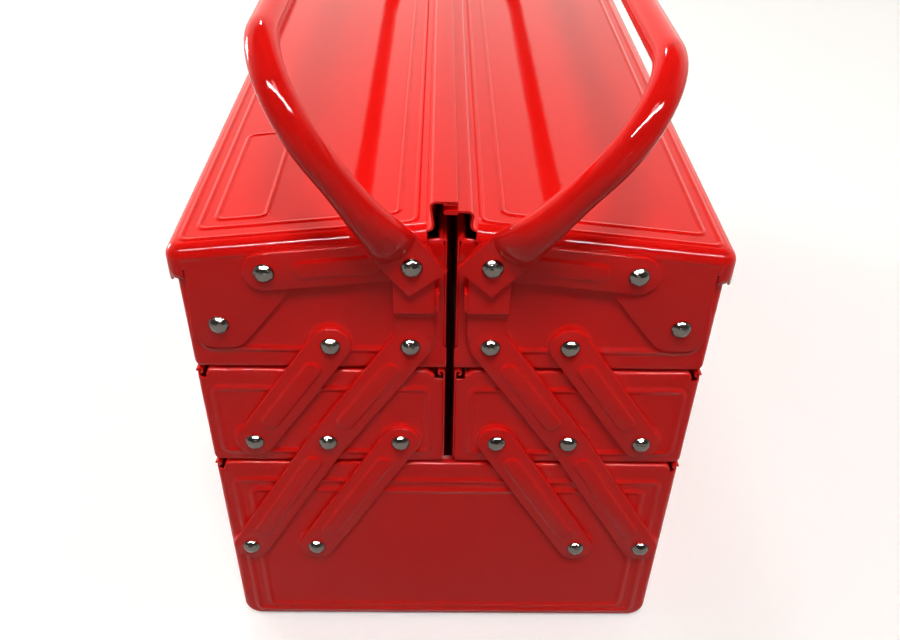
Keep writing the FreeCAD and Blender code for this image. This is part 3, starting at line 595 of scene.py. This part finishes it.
def pan(outer, inner, base, outer_top, inner_top, corner, floor_end):
    """A folded pan: its section runs to the end walls' flanges, its rolled rims to their faces."""
    line = u_section(outer, inner, base, outer_top, inner_top, corner)
    shells = [drawn_out(thickened(line, steel), -floor_end, floor_end)]
    for curl in (line[:roll_steps], line[-roll_steps:]):
        for side in (-1, 1):
            shells.append(drawn_out(thickened(curl, steel), side * floor_end,
                                    side * (wall_face - steel / 2)))
    return shells


bottom_pan = pan(-half_width, half_width, 0, bottom_rim, bottom_rim, bottom_corner, 226.8)
make_piece("bottom_tray_folded_pan", bottom_pan, "bottom_tray", enamel, ["bottom_tray_pan"])


def inner_lips(base, top, start):
    """The inner long wall's two ends, whose bare edges show beside the end walls.

    Each is a strip of the sheet, whose foot is drawn back along a quarter circle."""
    near, far, foot_round, edge_round, top_gap = 226.8, 229.9, 1.5, 0.3, 1.6
    section = rounded_outline([(-seam_face - steel, -near), (-seam_face, -near),
                               (-seam_face, -far, edge_round), (-seam_face - steel, -far, edge_round)], 3)
    shells = []
    for side in (1, -1):
        rings = []
        for share in (0.0, 0.35, 0.7, 1.0):
            back = foot_round * (1 - math.sqrt(max(0, 1 - (1 - share) ** 2)))
            height = base + start + foot_round * share
            rings.append(np.stack([section[:, 0], np.maximum(section[:, 1], -far + back) * side,
                                   np.full(len(section), height)], -1))
        rings.append(np.stack([section[:, 0], section[:, 1] * side,
                               np.full(len(section), top - top_gap)], -1))
        shells.append(stacked(rings))
    return shells


# Each tray's base, outer rim and inner rim, and how far above its base the bare edges start.
half_pans = [("middle", middle_base, middle_rim, middle_rim, 3.0),
             ("top", top_base, top_rim, top_inner_rim, 11.5)]
for half, side in (("left", -1), ("right", 1)):
    for tray, base, outer_rim, inner_rim, lip_start in half_pans:
        shells = pan(-half_width, -seam_face, base, outer_rim, inner_rim, half_corner, 227.4)
        shells += inner_lips(base, inner_rim, lip_start)
        make_piece("%s_%s_tray_folded_pan" % (half, tray), shells, "%s_%s_tray" % (half, tray), enamel,
                   ["%s_%s_tray_pan" % (half, tray)], flip=(-side, 1))

# %% [markdown]
# The arms and lid links are strip steel with round ends. A rib pressed along each one stiffens it
# and is what catches the light. Each bar is one shell built from rings: the outline, its rounded
# edge, then the rib's own outline with an S-shaped flank. Every ring is the same capsule shape,
# two half circles and the straights between them, so the rings join point to point.

# %% Bars with ribs


def capsule(start, end, radius, steps=20):
    """Points round a bar with half circles about its two pivots."""
    start, end = np.array(start), np.array(end)
    heading = math.atan2(*(end - start)[::-1])
    turns = heading + np.linspace(0, math.pi, steps) - math.pi / 2
    half_circle = radius * np.stack([np.cos(turns), np.sin(turns)], -1)
    return np.concatenate([end + half_circle, start - half_circle])


def ribbed_bar(start, end, back, front, lift=0.0):
    """A strip with round ends and a pressed rib, standing out from the wall between two layers.

    The rib's flank is a smooth step: its height follows share squared times three less two shares."""
    width, edge = 8.0, 0.6
    rib_half, rib_height, rib_flank, inset = 4.3, 0.9, 1.5, 10.0
    start, end = np.array(start), np.array(end)
    ahead = (end - start) / np.linalg.norm(end - start)
    rib_start, rib_end = start + ahead * (inset + rib_half), end - ahead * (inset + rib_half)
    rings = [upright(capsule(start, end, width), back)]
    for turn in np.linspace(0, math.pi / 2, 4):
        rings.append(upright(capsule(start, end, width - edge * (1 - math.cos(turn))),
                             front + lift - edge * (1 - math.sin(turn))))
    for share in np.linspace(0, 1, 7):
        rings.append(upright(capsule(rib_start, rib_end, rib_half - rib_flank * share),
                             front + lift + rib_height * smooth_step(share)))
    return stacked(rings)


upper_bar = ribbed_bar(*on_left(upper_foot, upper_top), arm_back, arm_front)
lower_bar = ribbed_bar(*on_left(short_foot, short_middle), arm_back, arm_front)
link_bar = ribbed_bar(*on_left(head, link_end), link_back, link_front)
for quarter, (side, end) in quarters:
    half = quarter.split("_")[0]
    for kind, bar, body in (("upper_arm", upper_bar, "upper_arms"), ("lower_arm", lower_bar, "lower_arms"),
                            ("lid_link", link_bar, "lid_links")):
        make_piece("%s_ribbed_%s" % (quarter, kind), [bar], "%s_%s" % (half, body), enamel,
                   ["%s_%s" % (quarter, kind)], flip=(-side, end))

# %% [markdown]
# The long arm runs from the bottom tray to the handle. Above the top tray's pivot it steps out,
# so that the lid link can lie under it. This neck is a strip carried up the wall: at each height
# it has a width, and a distance out that follows a smooth step over the three millimetres of the
# joggle. A small tab bent out of its inner edge stops the handle.

# %% Long arms


def strip_ring(left, right, back, front, height, edge=0.4, steps=3):
    """A flat bar's section at one height, its front edges rounded."""
    turn = math.pi / 2 * np.linspace(0, 1, steps + 1)
    rise, fall = edge * (1 - np.sin(turn)), edge * (1 - np.cos(turn))
    x = np.concatenate([[left, left], left + fall[1:], right - rise[:-1], [right, right]])
    out = np.concatenate([[back, front - edge], front - rise[1:], front - fall[:-1], [front - edge, back]])
    return np.stack([x, -wall_face - out, np.full(len(x), height)], -1)


neck_inner, neck_outer, neck_round = -5.9, -21.3, 8.0


def neck():
    """The long arm's joggled neck: strip sections from below the joggle to the round top."""
    joggle, joggle_height = 191.2, 3.4
    waist, waist_height, waist_depth = 184.0, 7.6, 1.4
    round_turns = np.linspace(0.12, math.pi / 2 - 0.06, 14)
    heights = np.concatenate([np.linspace(long_top[1], waist, 9), np.linspace(190.6, 195.2, 14),
                              [205, head[1]], head[1] + neck_round * np.sin(round_turns)])
    rings = []
    for height in heights:
        out = (neck_back - arm_back) * smooth_step((height - joggle) / joggle_height)
        left = neck_outer
        right = neck_inner - waist_depth * smooth_step((waist - height) / waist_height)
        if height > head[1]:
            reach = math.sqrt(max(neck_round ** 2 - (height - head[1]) ** 2, 0))
            left, right = max(-head[0] - reach, left), min(-head[0] + reach, right)
        rings.append(strip_ring(left, right, arm_back + out, arm_front + out, height))
    return stacked(rings)


tab_width, tab_low, tab_high, tab_round = 1.6, 197.2, 205.8, 0.5
tab_outline = rounded_outline([(x, z, tab_round) for x, z in (
    (neck_inner, tab_low), (neck_inner + tab_width, tab_low),
    (neck_inner + tab_width, tab_high), (neck_inner, tab_high))], 3)
stop_tab = plate(tab_outline, neck_back + 0.2, neck_front + 3.0, soft=tab_round)
long_arm_shells = [
    ribbed_bar(*on_left(long_foot, long_middle), arm_back, arm_front),
    ribbed_bar(*on_left(long_middle, long_top), arm_back, arm_front, lift=0.02),
    neck(), stop_tab]
for quarter, (side, end) in quarters:
    half = quarter.split("_")[0]
    make_piece("%s_joggled_long_arm" % quarter, long_arm_shells, half + "_long_arms", enamel,
               ["%s_long_arm" % quarter], flip=(-side, end))

# %% [markdown]
# A lid is one large pressing: a gently sloping top with its edges turned down, two nested beads
# round it, and along the middle of the box an upstand that hooks over or under its neighbour's.
# The top is again a grid with bends at its edges. The slope is added last, as a shear, so the
# bends stay true.

# %% Lids
lid_inner_height, lid_outer_height, ridge_at, lid_reach = 228.0, 217.9, 8.8, 103.5
lid_end, skirt_foot, lid_bend, lid_corner = 231.7, 205.9, 5.0, 7.0
skirt_extra, ridge_fillet = 1.7, 2.4
ear_side, ear_seam = 96.0, 96.8


def lid_top(across):
    """Height of the lid's top face at a distance from the middle of the box: a straight slope."""
    drop = (across - ridge_at) * (lid_inner_height - lid_outer_height)
    return lid_inner_height - drop / (lid_reach - ridge_at)


def lid_lines(frames, inner_edge, skirt):
    """The lid's grid lines across and along, crowded over the beads and round the edges."""
    turn = lid_bend * math.pi / 2
    flat_x, flat_y = lid_reach - lid_bend, lid_end - lid_bend
    spans_x = [(inner_edge, flat_x, 3.5), (flat_x, flat_x + turn, 0.6),
               (flat_x + turn, flat_x + turn + skirt, 1.6)]
    spans_x += [(x, x + hair, hair) for x in (ear_side, ear_seam)]
    spans_y = [(0, flat_y, 7.0), (flat_y, flat_y + turn, 0.6), (flat_y + turn, flat_y + turn + skirt, 1.6)]
    for lo, hi in frames:
        for reach, step in ((2.2, 0.37), (5, 0.8)):
            spans_x += [(x - reach, x + reach, step) for x in (lo[0], hi[0])]
            spans_y += [(abs(y) - reach, abs(y) + reach, step) for y in (lo[1], hi[1])]
    lines_x, lines_y = ticks(*spans_x), ticks(*spans_y)
    lines_y = lines_y[(lines_y <= flat_y + turn + skirt) & (lines_y >= 0)]
    return lines_x[lines_x >= inner_edge], np.concatenate([-lines_y[::-1], lines_y[1:]])


def lid_sheet(frames, inner_edge):
    """The lid's top with its beads, end bends and outer skirt, for the right half (x positive).

    Distances past the flat go round the bend, then down the skirt as a share of its length."""
    turn, skirt = lid_bend * math.pi / 2, 8.0
    flat_x, flat_y = lid_reach - lid_bend, lid_end - lid_bend
    u, v = np.meshgrid(*lid_lines(frames, inner_edge, skirt))
    reach_x, _ = bend(u - flat_x, lid_bend)
    reach_y, _ = bend(np.abs(v) - flat_y, lid_bend)
    x = np.where(u > flat_x, flat_x + reach_x, u)
    y = np.where(np.abs(v) > flat_y, np.sign(v) * (flat_y + reach_y), v)
    past = np.maximum(u - flat_x, np.abs(v) - flat_y)
    inside, over_x, over_y, corner_past, _ = round_corner(
        u - (lid_reach - lid_corner), np.abs(v) - (lid_end - lid_corner), lid_corner - lid_bend, lid_bend)
    x = np.where(inside, lid_reach - lid_corner + over_x, x)
    y = np.where(inside, np.sign(v) * (lid_end - lid_corner + over_y), y)
    past = np.where(inside, corner_past, past)
    _, drop = bend(np.minimum(past, turn), lid_bend)
    relief = 0 * x
    for lo, hi in frames:
        relief = np.maximum(relief, bead(off_frame(x, y, lo, hi), 1.5, 0.45))
    z = lid_top(x) - drop + relief
    z = z + np.clip((past - turn) / skirt, 0, 1) * (skirt_foot - skirt_extra - z)
    middle_u = (u[:-1, :-1] + u[1:, 1:]) / 2
    past_bend = np.abs(v[:-1, :-1] + v[1:, 1:]) / 2 - flat_y - turn
    kept = ~((past_bend > 0) & (middle_u < ear_side))
    kept &= ~((past_bend > skirt * 0.45) & (middle_u < ear_seam))
    return np.stack([x, y, z], -1).reshape(-1, 3), net(*u.shape, kept)


label_bead = ((68.4, -212.9), (87.0, -141.6))


def nested_frames(outer_line, inner_line):
    """The two nested bead frames, whose lines near the ridge differ between the lids."""
    return [((outer_line, -225.4), (97.6, 225.4)), ((inner_line, -218.6), (92.4, 218.6))]


def end_strip():
    """The strip below a lid's end bend, with the ear that carries the hinge rivet."""
    strip, strip_end, ear_foot, ear_round = 7.5, 49.6, 174.3, 8.4
    outline = rounded_outline([
        (ridge_at, lid_top(ridge_at) - lid_bend), (ridge_at, lid_top(ridge_at) - strip),
        (strip_end, lid_top(strip_end) - strip, 6), (60.8, 198.9, 3),
        (80.3, ear_foot, ear_round), (98.2, ear_foot, ear_round),
        (ear_side, skirt_foot), (ear_side, lid_top(ear_side) - lid_bend)])
    soft = np.full(len(outline), 0.3)
    soft[[0, -1]] = 0.0
    return plate(outline, lid_back, lid_front, soft=soft)


def ridge(height, reach, waist, crown, sheet_edge):
    """The upstand along the middle: up round a fillet, leaning, hooked over and hemmed back."""
    half, hook_bend, hem_end = steel / 2, 2.0, 5.0
    line = rounded_outline([(sheet_edge, lid_top(sheet_edge) - half),
                            (waist, lid_top(waist) - half, ridge_fillet),
                            (crown, height - half, hook_bend), (half - reach, height - half)], 8)
    fold = np.radians(np.linspace(100, 270, 9))
    hem = np.stack([half * 2 - reach + half * np.cos(fold), height - steel + half * np.sin(fold)], -1)
    line = np.concatenate([line[:-1], hem, [(hem_end - reach, height - steel * 1.5)]])
    return drawn_out(thickened(line, steel), -lid_end, lid_end)


front_strip = end_strip()
rear_strip = (front_strip[0] * (1, -1, 1), [face[::-1] for face in front_strip[1]])

# Each lid's upstand is its height, its reach over the middle, its waist and its crown.
for half, side, upstand, frames in (
        ("left", -1, (239.2, 1.7, 6.5, 8.1), nested_frames(12.8, 19.2) + [label_bead]),
        ("right", 1, (235.6, 3.3, 5.9, 7.5), nested_frames(10.6, 18.1))):
    sheet_edge = upstand[2] + ridge_fillet
    make_piece(half + "_lid_pressing", [lid_sheet(frames, sheet_edge)], half + "_lid", enamel,
               [half + "_lid"], flip=(side, 1), wall=steel)
    make_piece(half + "_lid_ridge_and_ears", [front_strip, rear_strip, ridge(*upstand, sheet_edge)],
               half + "_lid", enamel, [half + "_lid"], flip=(side, 1))

# %% [markdown]
# The handles are steel tube bent to a wide U. Their ends are squeezed flat in a press and
# trimmed square, so the tube fades into the flat through a rounded tongue. The tube is a ring
# carried along a path, and near its ends the ring is a blend: a share of a flat bar's section, which
# falls to nothing along the tube, and a share of the tube's circle. The front points of these
# rings are also drawn back towards the end, most in the middle, and that makes the tongue.

# %% Handle ends
tube, flat_half, flat_thick = 5.6, 9.0, 2.4
splay = math.radians(6.0)
around = np.linspace(0, 2 * math.pi, 48, endpoint=False)
cos, sin = np.cos(around), np.sin(around)


def squeezed_ring(height, plate_turn):
    """The handle's ring at a height over the pivot, in its flat end or in the tongue above it.

    The flat bar follows cosine and sine to the power of a fifth, nearly a rectangle. Upwards the
    tube's share swells from none to all, and its extra width narrows to none. The plate turn is
    how far the trimmed end is twisted against the tube."""
    press, swelling, leaning, narrow_from, narrowing = 9.0, 17.0, 21.0, 8.6, 36.0
    swell_power, narrow_power, twist_from, twist_rise = 2.2, 1.6, 8.0, 10.0
    tongue_low, tongue_rise, tongue_high, tongue_fall, tongue_dip = -3.0, 12.0, 26.0, 17.0, 4.0
    corner_power, trimmed, trimmed_edge = 0.2, -8.9, 0.15
    swell = 1 - (1 - np.clip((height - press) / swelling, 0, 1)) ** swell_power
    narrow = (1 - np.clip((height - narrow_from) / narrowing, 0, 1)) ** narrow_power
    wide = tube + (flat_half - tube) * narrow
    bar_half = flat_half - (trimmed_edge if height < trimmed else 0)
    bar_x = bar_half * np.sign(cos) * np.abs(cos) ** corner_power
    bar_out = flat_thick / 2 * (1 + np.sign(sin) * np.abs(sin) ** corner_power)
    lean = math.tan(splay) * height * np.clip((height - press) / leaning, 0, 1)
    out = handle_back + lean + bar_out * (1 - swell) + (tube + tube * sin) * swell
    x = bar_x * (1 - swell) + wide * cos * swell
    near_tip = (np.clip((height - tongue_low) / tongue_rise, 0, 1) *
                np.clip((tongue_high - height) / tongue_fall, 0, 1))
    dip = tongue_dip * smooth_step(near_tip) * (1 - np.minimum(np.abs(x) / flat_half, 1) ** 2)
    height = height - np.where(sin > 0, dip, 0)
    twist = plate_turn * (1 - np.clip((height - twist_from) / twist_rise, 0, 1))
    return np.stack([x * np.cos(twist) + height * np.sin(twist), -wall_face - out,
                     height * np.cos(twist) - x * np.sin(twist)], -1)


# %% [markdown]
# Above the tongue the tube is plain: a splayed leg, a bend and half of the grip. Its rings are
# worked out at once, a row of centres and headings times the circle. The far half is the near
# half mirrored, and the whole handle is then leaned out over its lid.

# %% Handles


def handle_shell(tilt, plate_turn, side):
    """The whole handle, upright at its pivot, then leaned out by the tilt.

    Up the leg the centre moves out by the height times the splay's tangent, and round the bend it
    follows a circle's cosine and sine. Each ring is a circle square to its heading."""
    reach, radius, leg_start = 88.2, 31.6, 48
    heights = np.concatenate([[-9.0, -8.8], np.linspace(-7.5, 8.5, 9), np.linspace(9.0, 16, 22),
                              np.linspace(16.8, 46, 26)])
    ends = np.array([squeezed_ring(height, plate_turn) for height in heights])

    setback = radius * math.tan((math.pi / 2 + splay) / 2)
    legs = np.linspace(leg_start, reach - setback * math.cos(splay), 12)
    leg_out = wall_face + handle_back + tube + legs * math.tan(splay)
    turns = np.linspace(splay, -math.pi / 2, 26)[1:]
    bend_out = leg_out[-1] - radius * math.cos(splay) + radius * np.cos(turns)
    bend_height = legs[-1] + radius * math.sin(splay) - radius * np.sin(turns)
    out = np.concatenate([leg_out, bend_out])[:, None]
    height = np.concatenate([legs, bend_height])[:, None]
    heading = np.concatenate([np.full(len(legs), splay), turns])[:, None]
    ring_out = out + tube * sin * np.cos(heading)
    ring_z = height - tube * sin * np.sin(heading)
    tubes = np.stack([np.broadcast_to(tube * cos, ring_out.shape), -ring_out, ring_z], -1)

    near_half = np.concatenate([ends, tubes])
    whole = np.concatenate([near_half, near_half[::-1] * (1, -1, 1)])
    x = side * (whole[..., 0] * math.cos(tilt) + whole[..., 2] * math.sin(tilt) + head[0])
    z = whole[..., 2] * math.cos(tilt) - whole[..., 0] * math.sin(tilt) + head[1]
    return stacked(list(np.stack([x, whole[..., 1], z], -1)))


for half, side, tilt, plate_turn in (("left", -1, 32.0, 6.5), ("right", 1, 38.0, 4.8)):
    shell = handle_shell(math.radians(tilt), math.radians(plate_turn), side)
    make_piece(half + "_tube_handle", [shell], half + "_handle", enamel, [half + "_handle"], sharp=50)

# %% [markdown]
# A rivet is turned about its own axis: a low dome with a small rolled edge outside, the shank
# through the steel, and on the inside the head that the riveting tool formed.

# %% Rivets


def turned(profile, pivot, end, steps=40):
    """A profile of (radius, distance out) pairs carried round the pivot by cosine and sine."""
    around = np.linspace(0, 2 * math.pi, steps, endpoint=False)
    points, faces = stacked([
        np.stack([pivot[0] + radius * np.cos(around), np.full(steps, -wall_face - out),
                  pivot[1] + radius * np.sin(around)], -1) for radius, out in profile])
    if end < 0:
        return points * (1, -1, 1), [face[::-1] for face in faces]
    return points, faces


def rivet_profile(under, tail):
    """A low dome over a rounded edge, then the shank, and the formed head at the tail if it shows.

    The dome is an arc whose radius is its half width squared plus its rise squared, over twice
    the rise."""
    half, dome_half, rise, height, shank, hidden = 3.9, 3.75, 2.35, 2.6, 2.0, 1.7
    sphere = (half ** 2 + rise ** 2) / (2 * rise)
    angles = np.linspace(0.02, math.asin(dome_half / sphere), 14)
    profile = [(sphere * math.sin(a), under + height - sphere * (1 - math.cos(a))) for a in angles]
    profile += [(half, under + 0.22), (half, under + 0.08), (half - 0.1, under), (shank, under)]
    if tail is None:
        return profile + [(shank, under - hidden), (0.3, under - hidden)]
    return profile + [(shank, tail), (3.1, tail - 0.1), (3.2, tail - 0.6),
                      (2.6, tail - 1.2), (0.3, tail - 1.2)]


seat_gap = 0.1
arm_rivet = rivet_profile(arm_front + seat_gap, -steel)
hinge_rivet = rivet_profile(lid_front + seat_gap, -steel)
head_rivet = rivet_profile(handle_front + seat_gap, link_back)
link_rivet = rivet_profile(link_front + seat_gap, None)


def rivets(placed):
    """The shells of rivets given as (profile, pivot) pairs, at the front and at the rear."""
    return [turned(profile, pivot, end) for profile, pivot in placed for end in (1, -1)]


make_piece("bottom_tray_domed_rivets", rivets([(arm_rivet, pivot) for pivot in bottom_pivots]),
           "bottom_tray", nickel, ["bottom_tray_rivets"])
rivet_groups = [
    ("middle_tray", "middle_tray", [(arm_rivet, pivot)
                                    for pivot in (upper_foot, long_middle, short_middle)]),
    ("top_tray", "top_tray", [(arm_rivet, upper_top), (arm_rivet, long_top), (hinge_rivet, hinge)]),
    ("long_arm", "long_arms", [(head_rivet, head)]),
    ("lid_link", "lid_links", [(link_rivet, link_end)])]
for half, side in (("left", -1), ("right", 1)):
    for group, body, placed in rivet_groups:
        make_piece("%s_%s_domed_rivets" % (half, group), rivets(placed), "%s_%s" % (half, body), nickel,
                   ["%s_%s_rivets" % (half, group)], flip=(side, 1))

# %% [markdown]
# The floor is plain matt white board, lit by the same lamps as the box, so it keeps the box's own
# soft shadow. A photographer's white sweep comes out whiter than the board is, so what the camera,
# a gloss or a glass sees of it is paler and glows a little. The light that it throws back on the
# box is that of a grey board, as if the sweep were masked off below.

# %% Floor
floor_half, floor_glow = 6.0, 0.22
floor_mesh = bpy.data.meshes.new("floor")
floor_mesh.from_pydata([(-floor_half, -floor_half, 0), (floor_half, -floor_half, 0),
                        (floor_half, floor_half, 0), (-floor_half, floor_half, 0)], [], [(0, 1, 2, 3)])
floor = bpy.data.objects.new("floor", floor_mesh)
scene.collection.objects.link(floor)
board, tree = new_material("matt_white_board")
path = add_node(tree, "ShaderNodeLightPath")
seen = add_node(tree, "ShaderNodeMath", settings={"operation": "MAXIMUM"},
                links={0: path.outputs["Is Camera Ray"], 1: path.outputs["Is Glossy Ray"]})
shown = add_node(tree, "ShaderNodeMath", settings={"operation": "MAXIMUM"},
                 links={0: seen.outputs["Value"], 1: path.outputs["Is Transmission Ray"]})
board_tone = add_node(tree, "ShaderNodeMix", settings={"data_type": "RGBA"},
                      values={6: paint_card("#6e6e6c"), 7: paint_card("#f2f2f1")},
                      links={"Factor": shown.outputs["Value"]})
surface = add_node(tree, "ShaderNodeBsdfDiffuse", links={"Color": board_tone.outputs[2]})
veil = add_node(tree, "ShaderNodeMath", settings={"operation": "MULTIPLY"}, values={1: floor_glow},
                links={0: shown.outputs["Value"]})
glow = add_node(tree, "ShaderNodeEmission", links={"Strength": veil.outputs["Value"]})
white = add_node(tree, "ShaderNodeAddShader",
                 links={0: surface.outputs["BSDF"], 1: glow.outputs["Emission"]})
add_node(tree, "ShaderNodeOutputMaterial", links={"Surface": white.outputs["Shader"]})
floor_mesh.materials.append(board)
print("floor", 2 * floor_half, "m square")

# %% [markdown]
# A gloss surface shows the room more than the lamps: the lids, seen at a low angle, mirror the
# wall behind the box, and the upright sheets and the rivets mirror the wall in front. The world is
# that room, worked out from the direction alone: a bright wall behind, a dim one in front, a dark
# ceiling, and a black flag, the cloth that a photographer hangs round the camera.

# %% World
wall_in_front, wall_behind, everywhere = 0.1, 1.85, 0.08
flag_aim = (0.0, -0.77, 0.64)


def studio_world():
    """The room as a brightness for each direction: wall times ceiling times flag, plus a little.

    Each fade is a smooth step from 1 to 0, of how far back, how high or how near the flag's aim
    the direction points."""
    world = bpy.data.worlds.new("studio")
    scene.world = world
    world.use_nodes = True
    tree = world.node_tree
    tree.nodes.clear()
    towards = add_node(tree, "ShaderNodeTexCoord").outputs["Generated"]
    parts = add_node(tree, "ShaderNodeSeparateXYZ", links={"Vector": towards})
    flag = add_node(tree, "ShaderNodeVectorMath", settings={"operation": "DOT_PRODUCT"},
                    values={1: flag_aim}, links={0: towards})
    fades = {}
    for name, value, start, end in (("behind", parts.outputs["Y"], 0.35, -0.25),
                                    ("front_wall", parts.outputs["Z"], 0.70, 0.92),
                                    ("back_wall", parts.outputs["Z"], 0.52, 0.70),
                                    ("past_flag", flag.outputs["Value"], 0.80, 0.90)):
        fade = add_node(tree, "ShaderNodeMapRange", settings={"interpolation_type": "SMOOTHSTEP"},
                        values={"From Min": start, "From Max": end, "To Min": 1.0, "To Max": 0.0},
                        links={"Value": value})
        fades[name] = fade.outputs["Result"]
    wall = add_node(tree, "ShaderNodeMapRange", values={"To Min": wall_in_front, "To Max": wall_behind},
                    links={"Value": fades["behind"]})
    ceiling = add_node(tree, "ShaderNodeMix", links={
        "Factor": fades["behind"], "A": fades["front_wall"], "B": fades["back_wall"]})
    lit = add_node(tree, "ShaderNodeMath", settings={"operation": "MULTIPLY"},
                   links={0: wall.outputs["Result"], 1: ceiling.outputs["Result"]})
    shown = add_node(tree, "ShaderNodeMath", settings={"operation": "MULTIPLY"},
                     links={0: lit.outputs["Value"], 1: fades["past_flag"]})
    level = add_node(tree, "ShaderNodeMath", settings={"operation": "ADD"}, values={1: everywhere},
                     links={0: shown.outputs["Value"]})
    light = add_node(tree, "ShaderNodeBackground", values={"Color": paint_card("#fff6ec")},
                     links={"Strength": level.outputs["Value"]})
    add_node(tree, "ShaderNodeOutputWorld", links={"Surface": light.outputs["Background"]})


studio_world()
print("wall behind", wall_behind + everywhere, "and in front", wall_in_front + everywhere)

# %% [markdown]
# A soft box in front and above models the form, a small one behind parts the lids from the floor,
# and one far out to the left and behind stands for a window. A narrow strip in front and a long
# skylight draw the fine white lines along bends, folds and tubes. The skylight's diffuse part is
# off, so that it adds no light to the red itself.

# %% Lamps


def soft_box(name, place, aim, width, height, watts):
    """A rectangular soft box at a place in metres, turned to face the aim."""
    lamp = bpy.data.lights.new(name, "AREA")
    lamp.shape = "RECTANGLE"
    lamp.size = width
    lamp.size_y = height
    lamp.energy = watts
    holder = bpy.data.objects.new(name, lamp)
    holder.location = place
    holder.rotation_euler = (Vector(aim) - Vector(place)).to_track_quat("-Z", "Y").to_euler()
    scene.collection.objects.link(holder)
    print(name, watts, "W")
    return holder


for name, place, aim, width, height, watts in (
        ("top_box", (0.05, -0.92, 1.75), (0, 0, 0.1), 0.45, 0.45, 17.5),
        ("rear_box", (-0.3, 1.3, 1.5), (0, 0, 0.1), 0.2, 0.2, 6),
        ("left_window", (-2.1, 1.35, 0.45), (0, 0, 0.25), 0.6, 0.6, 36),
        ("window_strip", (0.1, -2.5, 0.55), (0, 0, 0.2), 1.6, 0.015, 3)):
    soft_box(name, place, aim, width, height, watts)
skylight = soft_box("skylight", (0.0, -1.15, 1.9), (0, -0.2, 0.2), 2.4, 0.25, 380)
skylight.visible_diffuse = False

# %% [markdown]
# The camera was worked out from the box's own edges and rivets: a quarter of a metre in front of
# the near end and 0.39 m up, looking down at 37 degrees and held a degree off level, with a
# moderate wide angle lens. Its axes are worked out from these angles, one after the other.

# %% Camera
sensor_width = 36.0
lens = 35.1
eye = Vector((-4.6, -492.8, 387.4)) * mm
look_down = math.radians(37.255)
turn_right = math.radians(0.93)
roll = math.radians(1.13)

ahead = Vector((math.sin(turn_right) * math.cos(look_down),
                math.cos(turn_right) * math.cos(look_down),
                -math.sin(look_down)))
level_right = Vector((math.cos(turn_right), -math.sin(turn_right), 0))
level_up = level_right.cross(ahead)
right = level_right * math.cos(roll) + level_up * math.sin(roll)
up = right.cross(ahead)

camera_data = bpy.data.cameras.new("camera")
camera_data.sensor_width = sensor_width
camera_data.lens = lens
camera_data.clip_start = 0.01
camera = bpy.data.objects.new("camera", camera_data)
axes = Matrix((right, up, -ahead)).transposed()
camera.matrix_world = Matrix.Translation(eye) @ axes.to_4x4()
scene.collection.objects.link(camera)
scene.camera = camera
scene.view_settings.view_transform = "Standard"
print("camera at", [round(c, 3) for c in eye], "looking down", round(math.degrees(look_down), 1), "degrees")
